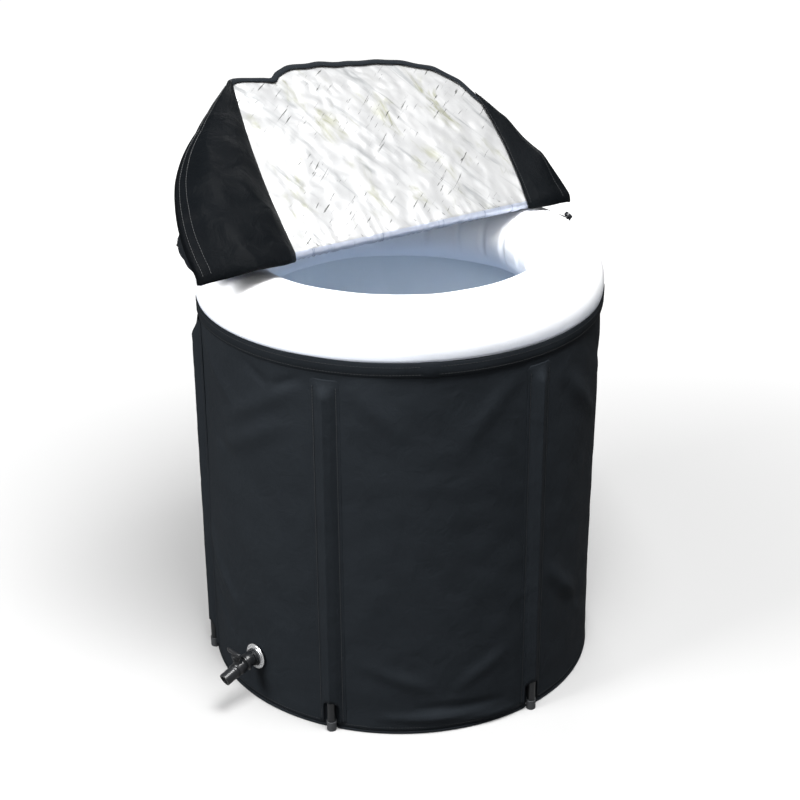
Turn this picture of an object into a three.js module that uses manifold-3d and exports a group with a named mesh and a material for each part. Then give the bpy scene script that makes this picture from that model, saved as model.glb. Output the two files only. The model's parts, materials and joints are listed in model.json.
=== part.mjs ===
// Round, foldable cold plunge tub: a coated cloth jacket on six poles, a foam layer and a
// white liner inside it, an inflatable ring in the mouth, a drain tap low on the wall and a
// foil lined lid whose front half is folded open.
//
// Millimetres, +Z up. The origin is on the floor under the middle of the tub, and -Y faces
// the front panel. Azimuths are in degrees from -Y towards +X.

import * as THREE from 'three';
import { mergeVertices } from 'three/addons/utils/BufferGeometryUtils.js';
import Module from 'manifold-3d';

// Fits
const SEAT_GAP = 0.3;
const WALL_FACETS = 60;
const SMALL_FACETS = 16;
const POLE_FACETS = 12;

// Tub wall
const JACKET_RADIUS = 375;
const JACKET_TOP = 743;
const CLOTH = 1.6;
const WALL_FOAM = 6;
const BASE_FOAM = 6;
const BASE_CLOTH = 2;
const LINER = 1.6;
const HEM_DEPTH = 24;
const PIPING = 3;
const PIPING_HEIGHT = 6;

// Inflatable ring
const RING_TUBE_RADIUS = 70;
const RING_OVERHANG = 5;
const RING_RISE = 95;
const RING_OUTER_STEPS = 6;
const RING_INNER_STEPS = 9;

// Air valve
const VALVE_AZIMUTH = 108;
const VALVE_ELEVATION = 40;
const VALVE_FLANGE_RADIUS = 15;
const VALVE_FLANGE = 2;
const VALVE_BOSS_RADIUS = 9;
const VALVE_BOSS = 3;
const VALVE_STEM_RADIUS = 5;
const VALVE_STEM = 7;
const VALVE_BORE_RADIUS = 2.5;
const VALVE_CAP_WALL = 1.5;
const VALVE_CAP_SLACK = 1.6;
const VALVE_CAP_ROOF = 3;
const VALVE_CAP_SKIRT = 3.5;
const VALVE_STRAP_WIDTH = 6;
const VALVE_STRAP = 1.2;

// Poles, their sleeves and their caps
const POLE_COUNT = 6;
const FIRST_POLE_AZIMUTH = 30;
const POLE_RADIUS = 7.7;
const POLE_WALL = 1.5;
const POLE_BED = 5;
const POLE_BED_FLOOR = 6;
const POLE_BED_MOUTH = 12;
const FOOT_WALL = 1.2;
const FOOT_FLOOR = 4;
const FOOT_HEIGHT = 20;
const PLUG_SPIGOT = 14;
const PLUG_HEAD = 3;
const PLUG_WALL = 2;
const SLEEVE_WIDTH = 54;
const SLEEVE_DROP = 35;
const SLEEVE_CORNER = 20;
const SLEEVE_CLOSING = 30;
const SLEEVE_STEPS = 4;
const SLEEVE_ARCH_TOP = 62;
const SLEEVE_ARCH_WIDTH = 32;

// Drain through the wall
const DRAIN_AZIMUTH = -57;
const DRAIN_HEIGHT = 96;
const EYELET_RADIUS = 25;
const EYELET_BORE_RADIUS = 15.8;
const EYELET = 3.5;
const SPIGOT_RADIUS = 11;
const DRAIN_BORE_RADIUS = 7.5;
const INLET_FLANGE_RADIUS = 23;
const INLET_FLANGE = 4;
const GASKET = 2;
const OUTER_GASKET_RADIUS = 17.5;
const LOCK_NUT_RADIUS = 16.5;
const LOCK_NUT = 5;
const LOCK_NUT_SIDES = 8;

// Tap, which points down and away from the wall
const TAP_DROOP = 19;
const ELBOW_RADIUS = 14;
const ELBOW_SOCKET = 7;
const ELBOW_OUTLET = 6;
const TAP_FLANGE_RADIUS = 17.5;
const TAP_FLANGE = 3;
const TAP_BARREL_RADIUS = 12.5;
const TAP_BODY_LENGTH = 24;
const TAP_BULGE_RADIUS = 14.5;
const TAP_BALL_RADIUS = 8.9;
const TAP_BALL_BORE_RADIUS = 5;
const TAP_STEM_RADIUS = 3.5;
const TAP_STEM_GRIP = 7;
const TAP_NECK_RADIUS = 8;
const TAP_NECK_TOP = 21;
const HANDLE_HUB_RADIUS = 8;
const HANDLE_HUB = 10;
const HANDLE_SPAN = 40;
const HANDLE_HEIGHT = 12;
const HANDLE_THICKNESS = 7;
const SPOUT_LENGTH = 29.5;
const SPOUT_BORE_RADIUS = 8.5;
const SPOUT_LIP = 1.2;
const SPOUT_LIP_WIDTH = 5;

// Lid, folded along a diameter
const LID_OVERHANG = 20;
const LID_FOIL = 1;
const LID_FOAM = 8;
const LID_COVER = 1.5;
const LID_BINDING = 3;
const LID_FOLD_GAP = 0.4;
const LID_FOLD_TURN = 24;
const LID_OPEN_ANGLE = 140;
const LID_ARC_STEPS = 36;
const BINDING_START = 3;

// Rim of the raised half: [turn from the right end of the fold, change of its radius]. The
// gathered skirt pulls it straight between two soft corners.
const FLAP_RIM = [
  [0, 0],
  [8, -6],
  [20, -18],
  [30, -13],
  [38, 0],
  [45, 12],
  [53, 17],
  [62, 6],
  [72, -10],
  [82, -17],
  [92, -14],
  [100, -5],
  [108, 8],
  [116, 20],
  [123, 7],
  [130, -3],
  [138, -8],
  [146, -4],
  [155, 0],
  [180, 0],
];

// Skirt of the lid
const REAR_SKIRT_DEPTH = 78;
const REAR_SKIRT_END_DEPTH = 14;
const REAR_SKIRT_START = 22;
const REAR_SKIRT_FULL = 45;
const REAR_SKIRT_WAVE = 6;
const REAR_SKIRT_WAVES = 7;
const REAR_SKIRT_ROWS = 3;
const TOP_SKIRT_DEPTH = 75;
const TOP_SKIRT_ROWS = 4;
const TOP_SKIRT_COLUMNS = 12;
const TOP_SKIRT_START = 68;
const TOP_SKIRT_END = 142;
const TOP_SKIRT_PUFF = 7;
const LEFT_WING_FOOT = 230;
const LEFT_WING_TOP = 175;
const LEFT_WING_PUFF = 44;
const RIGHT_WING_FOOT = 310;
const RIGHT_WING_TOP = 306;
const RIGHT_WING_PUFF = 14;
const WING_CLOTH = 2.4;
const WING_STEPS = 8;

const wasm = await Module();
wasm.setup();

const rad = THREE.MathUtils.degToRad;

// Closed meshes

function signedVolume(positions, index) {
  const a = new THREE.Vector3();
  const b = new THREE.Vector3();
  const c = new THREE.Vector3();
  let sum = 0;
  for (let i = 0; i < index.length; i += 3) {
    a.fromBufferAttribute(positions, index[i]);
    b.fromBufferAttribute(positions, index[i + 1]);
    c.fromBufferAttribute(positions, index[i + 2]);
    sum += a.dot(b.cross(c));
  }
  return sum / 6;
}

// Merge shared vertices, drop triangles without area and turn every face outwards.
function closed(geometry) {
  const bare = new THREE.BufferGeometry();
  bare.setAttribute('position', geometry.getAttribute('position'));
  bare.setIndex(geometry.getIndex());
  const merged = mergeVertices(bare, 1e-4);
  const source = merged.getIndex().array;
  const index = [];
  for (let i = 0; i < source.length; i += 3) {
    const [a, b, c] = [source[i], source[i + 1], source[i + 2]];
    if (a !== b && b !== c && c !== a) index.push(a, b, c);
  }
  if (signedVolume(merged.getAttribute('position'), index) < 0) index.reverse();
  merged.setIndex(index);
  return merged;
}

function solid(geometry, matrix) {
  const mesh = closed(geometry);
  if (matrix) mesh.applyMatrix4(matrix);
  const vertProperties = new Float32Array(mesh.getAttribute('position').array);
  const triVerts = new Uint32Array(mesh.getIndex().array);
  return new wasm.Manifold(new wasm.Mesh({ numProp: 3, vertProperties, triVerts }));
}

function geometryOf(manifold) {
  const mesh = manifold.getMesh();
  const geometry = new THREE.BufferGeometry();
  geometry.setAttribute('position', new THREE.BufferAttribute(new Float32Array(mesh.vertProperties), 3));
  geometry.setIndex(Array.from(mesh.triVerts));
  return geometry;
}

// A profile of [radius, height] points turned about Z. Closed unless it ends on the axis.
function turned(profile, facets = SMALL_FACETS) {
  const points = profile.map(([radius, height]) => new THREE.Vector2(radius, height));
  const last = profile.at(-1);
  if (profile[0][0] > 0 || last[0] > 0) points.push(points[0].clone());
  return closed(new THREE.LatheGeometry(points, facets).rotateX(Math.PI / 2));
}

// The same, turned about X, with [radius, x] points.
function turnedAlongX(profile, facets = SMALL_FACETS) {
  return turned(profile, facets).rotateY(Math.PI / 2);
}

function tubeProfile(inner, outer, low, high) {
  return [[inner, low], [outer, low], [outer, high], [inner, high]];
}

function rodProfile(radius, low, high) {
  return [[0, low], [radius, low], [radius, high], [0, high]];
}

function extruded(shape, depth, curveSegments = 8) {
  return closed(new THREE.ExtrudeGeometry(shape, { depth, bevelEnabled: false, curveSegments }));
}

// A sheet between two grids of points of the same size: both faces and the rim all round.
function sheetBetween(front, back) {
  const rows = front.length;
  const columns = front[0].length;
  const positions = [front, back].flat(2).flatMap((point) => [point.x, point.y, point.z]);
  const at = (side, row, column) => (side * rows + row) * columns + column;
  const index = [];
  const quad = (a, b, c, d) => index.push(a, b, c, a, c, d);
  for (let row = 0; row + 1 < rows; row += 1) {
    for (let column = 0; column + 1 < columns; column += 1) {
      quad(at(0, row, column), at(0, row, column + 1), at(0, row + 1, column + 1), at(0, row + 1, column));
      quad(at(1, row, column), at(1, row + 1, column), at(1, row + 1, column + 1), at(1, row, column + 1));
    }
  }
  const border = [];
  for (let column = 0; column + 1 < columns; column += 1) border.push([0, column]);
  for (let row = 0; row + 1 < rows; row += 1) border.push([row, columns - 1]);
  for (let column = columns - 1; column > 0; column -= 1) border.push([rows - 1, column]);
  for (let row = rows - 1; row > 0; row -= 1) border.push([row, 0]);
  border.forEach(([row, column], i) => {
    const [nextRow, nextColumn] = border[(i + 1) % border.length];
    quad(at(0, row, column), at(1, row, column), at(1, nextRow, nextColumn), at(0, nextRow, nextColumn));
  });
  const geometry = new THREE.BufferGeometry();
  geometry.setAttribute('position', new THREE.Float32BufferAttribute(positions, 3));
  geometry.setIndex(index);
  return closed(geometry);
}

function grid(rows, columns, pointAt) {
  return Array.from({ length: rows + 1 }, (_, row) => (
    Array.from({ length: columns + 1 }, (_, column) => pointAt(row / rows, column / columns))
  ));
}

const mix = (from, to, share) => from + (to - from) * share;

// Places and finishes

function polar(azimuth, radius, height) {
  return new THREE.Vector3(radius * Math.sin(rad(azimuth)), -radius * Math.cos(rad(azimuth)), height);
}

// Local +X points away from the tub axis and local +Z stays up.
function outwardMatrix(azimuth, radius, height) {
  const matrix = new THREE.Matrix4().makeRotationZ(rad(azimuth - 90));
  return matrix.setPosition(polar(azimuth, radius, height));
}

function placedGroup(parent, matrix) {
  const group = new THREE.Group();
  matrix.decompose(group.position, group.quaternion, group.scale);
  parent.add(group);
  return group;
}

function finish(color, roughness, metalness = 0) {
  return () => new THREE.MeshStandardMaterial({ color, roughness, metalness });
}

const blackCloth = finish('#15191d', 0.75);
const blackPlastic = finish('#0c0e10', 0.4);
const blackRubber = finish('#111315', 0.8);
const whiteVinyl = finish('#f2f3f5', 0.35);
const paleFoam = finish('#d9dadb', 0.9);
const silverFoil = finish('#cdd0d2', 0.25, 0.9);
const brightMetal = finish('#d5d7d9', 0.15, 1);

function piece(parent, name, geometry, material) {
  const mesh = new THREE.Mesh(geometry, material());
  mesh.name = name;
  parent.add(mesh);
  return mesh;
}

// Wall layers, from the outside in, and base layers, from the floor up
const jacketInner = JACKET_RADIUS - CLOTH;
const foamOuter = jacketInner - SEAT_GAP;
const foamInner = foamOuter - WALL_FOAM;
const linerOuter = foamInner - SEAT_GAP;
const linerInner = linerOuter - LINER;
const pipingTop = SEAT_GAP + PIPING_HEIGHT;
const jacketBottom = pipingTop + SEAT_GAP;
const baseInset = PIPING + SEAT_GAP;
const baseFoamBottom = BASE_CLOTH + SEAT_GAP;
const baseFoamTop = baseFoamBottom + BASE_FOAM;
const foamBottom = Math.max(baseFoamTop, pipingTop) + SEAT_GAP;
const hemTop = JACKET_TOP + SEAT_GAP + CLOTH;

// Ring, valve and lid levels
const ringTop = JACKET_TOP + RING_RISE;
const ringHeight = ringTop - RING_TUBE_RADIUS;
const ringOuter = JACKET_RADIUS + RING_OVERHANG;
const ringRadius = ringOuter - RING_TUBE_RADIUS;
const lidRadius = ringOuter + LID_OVERHANG;
const lidThickness = LID_FOIL + LID_FOAM + LID_COVER + 2 * SEAT_GAP;
const hingeHeight = ringTop + SEAT_GAP + lidThickness + SEAT_GAP;
const bindingOuter = (lidRadius + SEAT_GAP + LID_BINDING) / Math.cos(Math.PI / 2 / LID_ARC_STEPS);

// Pole places
const footRadius = POLE_RADIUS + SEAT_GAP + FOOT_WALL;
const poleAxis = JACKET_RADIUS - POLE_BED + SEAT_GAP + footRadius;
const poleBottom = FOOT_FLOOR + SEAT_GAP;
const sleeveTop = JACKET_TOP - SLEEVE_DROP;
const poleTop = sleeveTop - SLEEVE_CLOSING - PLUG_HEAD - SEAT_GAP;

// Tub

// The wall is a ring of flat facets. The drain is in the middle of one of them.
const facetHalf = Math.PI / WALL_FACETS;
const wallFlat = JACKET_RADIUS * Math.cos(facetHalf);
const drainMatrix = outwardMatrix(DRAIN_AZIMUTH, wallFlat, DRAIN_HEIGHT);

// Outline of a wall layer, with a shallow bed for each pole under its sleeve.
function wallOutline(inset) {
  const facetTurn = 360 / WALL_FACETS;
  const perPole = WALL_FACETS / POLE_COUNT;
  const radius = JACKET_RADIUS - inset;
  const mouthTurn = POLE_BED_MOUTH / JACKET_RADIUS;
  const mouthRadius = radius * Math.cos(facetHalf) / Math.cos(facetHalf - mouthTurn);
  const floorTurn = POLE_BED_FLOOR / JACKET_RADIUS;
  const bed = [
    [-mouthTurn, mouthRadius],
    [-floorTurn, radius - POLE_BED],
    [floorTurn, radius - POLE_BED],
    [mouthTurn, mouthRadius],
  ];
  const outline = [];
  for (let pole = 0; pole < POLE_COUNT; pole += 1) {
    const azimuth = FIRST_POLE_AZIMUTH + pole * perPole * facetTurn;
    bed.forEach(([turn, reach]) => outline.push(polar(azimuth + THREE.MathUtils.radToDeg(turn), reach, 0)));
    for (let i = 1; i < perPole; i += 1) outline.push(polar(azimuth + i * facetTurn, radius, 0));
  }
  return outline;
}

function ringOutline(radius) {
  return Array.from({ length: WALL_FACETS }, (_, i) => polar(i * 360 / WALL_FACETS, radius, 0));
}

function flat(points) {
  return points.map(({ x, y }) => new THREE.Vector2(x, y));
}

function wallLayer(outer, inner, low, high) {
  const shape = new THREE.Shape(flat(outer));
  shape.holes.push(new THREE.Path(flat(inner)));
  return extruded(shape, high - low).translate(0, 0, low);
}

function wallDisc(inset, low, high) {
  return extruded(new THREE.Shape(flat(wallOutline(inset))), high - low).translate(0, 0, low);
}

function drilled(geometry, radius) {
  const reach = 2 * (CLOTH + WALL_FOAM + LINER + EYELET);
  const drill = solid(turnedAlongX(rodProfile(radius, -reach, reach)), drainMatrix);
  return geometryOf(solid(geometry).subtract(drill));
}

function buildWall(tub) {
  const jacket = wallLayer(wallOutline(0), wallOutline(CLOTH), jacketBottom, JACKET_TOP);
  piece(tub, 'outer_jacket', drilled(jacket, EYELET_BORE_RADIUS), blackCloth);

  // The hem turns over the edges of all three wall layers.
  const hemInner = JACKET_RADIUS + SEAT_GAP;
  const hem = [
    [hemInner, JACKET_TOP - HEM_DEPTH],
    [hemInner + CLOTH, JACKET_TOP - HEM_DEPTH],
    [hemInner + CLOTH, hemTop],
    [linerInner, hemTop],
    [linerInner, hemTop - CLOTH],
    [hemInner, hemTop - CLOTH],
  ];
  piece(tub, 'top_hem_band', turned(hem, WALL_FACETS), blackCloth);

  const piping = wallLayer(wallOutline(0), wallOutline(PIPING), SEAT_GAP, pipingTop);
  piece(tub, 'bottom_piping', piping, blackCloth);
  piece(tub, 'base_sheet', wallDisc(baseInset, 0, BASE_CLOTH), blackCloth);

  const foamOutline = wallOutline(CLOTH + SEAT_GAP);
  const wallFoam = wallLayer(foamOutline, ringOutline(foamInner), foamBottom, JACKET_TOP);
  piece(tub, 'insulation_wall', drilled(wallFoam, SPIGOT_RADIUS + SEAT_GAP), paleFoam);
  piece(tub, 'insulation_base', wallDisc(baseInset, baseFoamBottom, baseFoamTop), paleFoam);

  // The liner is welded from a front wall, a back wall and a floor.
  const linerWall = turned(tubeProfile(linerInner, linerOuter, foamBottom, JACKET_TOP), WALL_FACETS);
  const linerTube = solid(drilled(linerWall, SPIGOT_RADIUS + SEAT_GAP));
  const linerHalf = (side) => {
    const room = new THREE.BoxGeometry(3 * linerOuter, 2 * linerOuter, 3 * JACKET_TOP);
    room.translate(0, side * (linerOuter + SEAT_GAP / 2), 0);
    return geometryOf(linerTube.intersect(solid(room)));
  };
  piece(tub, 'liner_front', linerHalf(-1), whiteVinyl);
  piece(tub, 'liner_back', linerHalf(1), whiteVinyl);
  const linerFloor = rodProfile(linerInner - SEAT_GAP, foamBottom, foamBottom + LINER);
  piece(tub, 'liner_floor', turned(linerFloor, WALL_FACETS), whiteVinyl);
}

// The ring's section is round where it is free. Inside the wall it is pressed flat, and it
// sits on the hem with a ledge. A margin grows the section for pieces that fit on it.
function ringSection(margin) {
  const tube = RING_TUBE_RADIUS + margin;
  const ledge = hemTop + SEAT_GAP - margin;
  const pressed = linerInner - SEAT_GAP + margin;
  const ledgeTurn = Math.asin((ledge - ringHeight) / tube);
  const pressedTurn = -Math.acos((pressed - ringRadius) / tube);
  const crest = Math.PI / 2;
  const end = 2 * Math.PI + pressedTurn;
  const outer = Array.from({ length: RING_OUTER_STEPS }, (_, i) => i / RING_OUTER_STEPS);
  const inner = Array.from({ length: RING_INNER_STEPS + 1 }, (_, i) => i / RING_INNER_STEPS);
  const turns = [
    ...outer.map((share) => mix(ledgeTurn, crest, share)),
    ...inner.map((share) => mix(crest, end, share)),
  ];
  const round = turns.map((turn) => (
    [ringRadius + tube * Math.cos(turn), ringHeight + tube * Math.sin(turn)]
  ));
  return [[pressed, ledge], ...round];
}

function buildRing(tub) {
  piece(tub, 'air_ring', turned(ringSection(0), WALL_FACETS), whiteVinyl);

  // Valve: local +Z leaves the ring at a right angle, local +X runs up its slope.
  const outward = polar(VALVE_AZIMUTH, Math.cos(rad(VALVE_ELEVATION)), Math.sin(rad(VALVE_ELEVATION)));
  const upSlope = polar(VALVE_AZIMUTH, -Math.sin(rad(VALVE_ELEVATION)), Math.cos(rad(VALVE_ELEVATION)));
  const surface = polar(VALVE_AZIMUTH, ringRadius, ringHeight).addScaledVector(outward, RING_TUBE_RADIUS);
  const valveMatrix = new THREE.Matrix4().makeBasis(upSlope, outward.clone().cross(upSlope), outward);
  valveMatrix.setPosition(surface);
  const valve = placedGroup(tub, valveMatrix);

  const flangeTop = VALVE_FLANGE;
  const bossTop = flangeTop + VALVE_BOSS;
  const base = [
    [VALVE_BORE_RADIUS, -VALVE_FLANGE],
    [VALVE_FLANGE_RADIUS, -VALVE_FLANGE],
    [VALVE_FLANGE_RADIUS, flangeTop],
    [VALVE_BOSS_RADIUS, flangeTop],
    [VALVE_BOSS_RADIUS, bossTop],
    [VALVE_BORE_RADIUS, bossTop],
  ];
  const ringCut = solid(turned(ringSection(SEAT_GAP), WALL_FACETS), valveMatrix.clone().invert());
  piece(valve, 'valve_base', geometryOf(solid(turned(base)).subtract(ringCut)), blackPlastic);

  const stemBottom = bossTop + SEAT_GAP;
  const stemTop = stemBottom + VALVE_STEM;
  const stem = tubeProfile(VALVE_BORE_RADIUS, VALVE_STEM_RADIUS, stemBottom, stemTop);
  piece(valve, 'valve_stem', turned(stem), blackPlastic);

  // The cap hangs on a strap that bends at the lower edge of the flange.
  const capBore = VALVE_STEM_RADIUS + VALVE_CAP_SLACK;
  const capRadius = capBore + VALVE_CAP_WALL;
  const roofBottom = stemTop + SEAT_GAP;
  const roofTop = roofBottom + VALVE_CAP_ROOF;
  const capBottom = roofBottom - VALVE_CAP_SKIRT;
  const cap = [
    [0, roofBottom],
    [capBore, roofBottom],
    [capBore, capBottom],
    [capRadius, capBottom],
    [capRadius, roofTop - VALVE_CAP_WALL],
    [capRadius - VALVE_CAP_WALL, roofTop],
    [0, roofTop],
  ];
  const strapOuter = VALVE_FLANGE_RADIUS - SEAT_GAP;
  const strapBottom = flangeTop + SEAT_GAP;
  const strap = new THREE.Shape();
  strap.moveTo(capRadius - VALVE_CAP_WALL / 2, capBottom);
  strap.lineTo(strapOuter - VALVE_STRAP, strapBottom);
  strap.lineTo(strapOuter, strapBottom);
  strap.lineTo(strapOuter, strapBottom + VALVE_STRAP);
  strap.lineTo(capRadius - VALVE_CAP_WALL / 2, capBottom + 2 * VALVE_STRAP);
  const strapBand = extruded(strap, VALVE_STRAP_WIDTH).translate(0, 0, -VALVE_STRAP_WIDTH / 2);
  strapBand.rotateX(Math.PI / 2).rotateZ(Math.PI);
  piece(valve, 'valve_cap', geometryOf(solid(turned(cap)).add(solid(strapBand))), blackPlastic);
}

// Poles

// Half of the section of a sleeve: a flange on the jacket and a hump over the pole, as
// [distance round the jacket, distance out from it].
function sleeveSection(offset) {
  const bore = (POLE_RADIUS + SEAT_GAP) / Math.cos(Math.PI / SMALL_FACETS);
  const hump = bore + offset;
  const centre = poleAxis - JACKET_RADIUS - SEAT_GAP;
  const half = [[-SLEEVE_WIDTH / 2, offset], [-bore - 2 * CLOTH, offset]];
  const steps = SMALL_FACETS / 2;
  const round = Array.from({ length: steps + 1 }, (_, i) => {
    const turn = Math.PI * (1 - i / steps);
    return [hump * Math.cos(turn), centre + hump * Math.sin(turn)];
  });
  const other = half.map(([along, out]) => [-along, out]).reverse();
  return [...half, ...round, ...other];
}

function sleeveSheet(azimuth, offset) {
  const section = sleeveSection(offset);
  const base = JACKET_RADIUS + SEAT_GAP;
  const shares = Array.from({ length: SLEEVE_STEPS + 1 }, (_, i) => i / SLEEVE_STEPS);
  const closing = shares.map((share) => [sleeveTop - SLEEVE_CLOSING * (1 - share), share]);
  const levels = [[jacketBottom + CLOTH, 0], ...closing];
  return levels.map(([height, share]) => {
    const rise = 1 - share * share;
    const corner = Math.max(0, height - (sleeveTop - SLEEVE_CORNER));
    const narrowing = SLEEVE_CORNER - Math.sqrt(SLEEVE_CORNER ** 2 - corner ** 2);
    const widthShare = 1 - narrowing / (SLEEVE_WIDTH / 2);
    return section.map(([along, out]) => {
      const turn = THREE.MathUtils.radToDeg(along * widthShare / base);
      return polar(azimuth + turn, base + offset + (out - offset) * rise, height);
    });
  });
}

function archCutter(azimuth) {
  const radius = SLEEVE_ARCH_WIDTH / 2;
  const arch = new THREE.Shape();
  arch.moveTo(-radius, 0);
  arch.lineTo(radius, 0);
  arch.lineTo(radius, SLEEVE_ARCH_TOP - radius);
  arch.absarc(0, SLEEVE_ARCH_TOP - radius, radius, 0, Math.PI);
  arch.closePath();
  const reach = poleAxis - JACKET_RADIUS + 2 * footRadius;
  const prism = extruded(arch, 2 * reach).translate(0, 0, -reach).rotateX(Math.PI / 2).rotateZ(Math.PI / 2);
  return solid(prism, outwardMatrix(azimuth, JACKET_RADIUS, 0));
}

function buildPole(tub, number) {
  const azimuth = FIRST_POLE_AZIMUTH + (number - 1) * 360 / POLE_COUNT;
  const sleeve = solid(sheetBetween(sleeveSheet(azimuth, 0), sleeveSheet(azimuth, CLOTH)));
  piece(tub, `pole_sleeve_${number}`, geometryOf(sleeve.subtract(archCutter(azimuth))), blackCloth);

  const place = placedGroup(tub, outwardMatrix(azimuth, poleAxis, 0));
  const poleBore = POLE_RADIUS - POLE_WALL;
  const pole = tubeProfile(poleBore, POLE_RADIUS, poleBottom, poleTop);
  piece(place, `support_pole_${number}`, turned(pole, POLE_FACETS), blackPlastic);

  const footBore = POLE_RADIUS + SEAT_GAP;
  const foot = [
    [0, 0],
    [footRadius - FOOT_WALL, 0],
    [footRadius, FOOT_WALL],
    [footRadius, FOOT_HEIGHT],
    [footBore, FOOT_HEIGHT],
    [footBore, FOOT_FLOOR],
    [0, FOOT_FLOOR],
  ];
  piece(place, `foot_cap_${number}`, turned(foot, POLE_FACETS), blackRubber);

  const spigot = poleBore - SEAT_GAP;
  const headBottom = poleTop + SEAT_GAP;
  const plug = [
    [0, headBottom],
    [spigot - PLUG_WALL, headBottom],
    [spigot - PLUG_WALL, poleTop - PLUG_SPIGOT],
    [spigot, poleTop - PLUG_SPIGOT],
    [spigot, headBottom],
    [POLE_RADIUS, headBottom],
    [POLE_RADIUS, headBottom + PLUG_HEAD / 2],
    [POLE_RADIUS - PLUG_HEAD / 2, headBottom + PLUG_HEAD],
    [0, headBottom + PLUG_HEAD],
  ];
  piece(place, `pole_plug_${number}`, turned(plug, POLE_FACETS), blackPlastic);
}

// Drain: local +X leaves the wall, and 0 is the outside of the jacket

// The inner flange is wider than a facet of the liner, so it stands off the facets beside it.
const pastFacet = Math.max(0, INLET_FLANGE_RADIUS - linerInner * Math.sin(facetHalf));
const linerFace = linerInner * Math.cos(facetHalf) - wallFlat - pastFacet * Math.tan(2 * facetHalf);
const eyeletFace = SEAT_GAP + EYELET;
const gasketFace = eyeletFace + SEAT_GAP + GASKET;
const nutFace = gasketFace + SEAT_GAP + LOCK_NUT;
const elbowStart = nutFace + SEAT_GAP;
const spigotEnd = elbowStart + ELBOW_SOCKET;
const elbowBend = spigotEnd + SEAT_GAP + DRAIN_BORE_RADIUS * Math.tan(rad(TAP_DROOP / 2));

function buildDrain(tub) {
  const drain = placedGroup(tub, drainMatrix);
  const clearSpigot = SPIGOT_RADIUS + SEAT_GAP;

  const bead = EYELET / 2;
  const eyelet = [
    [EYELET_BORE_RADIUS, SEAT_GAP],
    [EYELET_RADIUS, SEAT_GAP],
    [EYELET_RADIUS, SEAT_GAP + bead / 2],
    [EYELET_RADIUS - bead, eyeletFace],
    [EYELET_RADIUS - 2 * bead, eyeletFace],
    [EYELET_RADIUS - 3 * bead, SEAT_GAP + bead],
    [EYELET_BORE_RADIUS + bead, SEAT_GAP + bead],
    [EYELET_BORE_RADIUS + bead, eyeletFace],
    [EYELET_BORE_RADIUS, eyeletFace],
  ];
  piece(drain, 'drain_eyelet', turnedAlongX(eyelet, 2 * POLE_FACETS), brightMetal);

  const innerGasketFace = linerFace - SEAT_GAP;
  const inletFace = innerGasketFace - GASKET - SEAT_GAP;
  const gasketBack = innerGasketFace - GASKET;
  const innerGasket = tubeProfile(clearSpigot, INLET_FLANGE_RADIUS, gasketBack, innerGasketFace);
  piece(drain, 'inner_gasket', turnedAlongX(innerGasket), blackRubber);
  const inlet = [
    [DRAIN_BORE_RADIUS, inletFace - INLET_FLANGE],
    [INLET_FLANGE_RADIUS, inletFace - INLET_FLANGE],
    [INLET_FLANGE_RADIUS, inletFace],
    [SPIGOT_RADIUS, inletFace],
    [SPIGOT_RADIUS, spigotEnd],
    [DRAIN_BORE_RADIUS, spigotEnd],
  ];
  piece(drain, 'drain_inlet', turnedAlongX(inlet), blackPlastic);

  const outerGasket = tubeProfile(clearSpigot, OUTER_GASKET_RADIUS, gasketFace - GASKET, gasketFace);
  piece(drain, 'outer_gasket', turnedAlongX(outerGasket), blackRubber);
  const nut = rodProfile(LOCK_NUT_RADIUS, nutFace - LOCK_NUT, nutFace);
  const nutBody = solid(turnedAlongX(nut, LOCK_NUT_SIDES));
  const nutBore = solid(turnedAlongX(rodProfile(clearSpigot, 0, nutFace + LOCK_NUT)));
  piece(drain, 'lock_nut', geometryOf(nutBody.subtract(nutBore)), blackPlastic);

  const droop = new THREE.Matrix4().makeRotationY(rad(TAP_DROOP));
  droop.setPosition(elbowBend, 0, 0);
  const elbow = solid(turnedAlongX(rodProfile(ELBOW_RADIUS, elbowStart, elbowBend)))
    .add(solid(new THREE.SphereGeometry(ELBOW_RADIUS, SMALL_FACETS, SMALL_FACETS / 2), droop))
    .add(solid(turnedAlongX(rodProfile(ELBOW_RADIUS, 0, ELBOW_OUTLET)), droop))
    .subtract(solid(turnedAlongX(rodProfile(2 * ELBOW_RADIUS, ELBOW_OUTLET, 3 * ELBOW_RADIUS)), droop))
    .subtract(solid(turnedAlongX(rodProfile(2 * ELBOW_RADIUS, elbowStart - ELBOW_RADIUS, elbowStart))))
    .subtract(solid(turnedAlongX(rodProfile(clearSpigot, 0, spigotEnd + SEAT_GAP))))
    .subtract(solid(turnedAlongX(rodProfile(DRAIN_BORE_RADIUS, 0, elbowBend))))
    .subtract(solid(new THREE.SphereGeometry(DRAIN_BORE_RADIUS, SMALL_FACETS, SMALL_FACETS / 2), droop))
    .subtract(solid(turnedAlongX(rodProfile(DRAIN_BORE_RADIUS, 0, 2 * ELBOW_RADIUS)), droop));
  piece(drain, 'tap_elbow', geometryOf(elbow), blackPlastic);
  buildTap(placedGroup(drain, droop));
}

// Tap: local +X is the flow, local +Z is the stem of the ball

function uprightBall(radius) {
  return new THREE.SphereGeometry(radius, SMALL_FACETS, SMALL_FACETS / 2).rotateX(Math.PI / 2);
}

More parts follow.
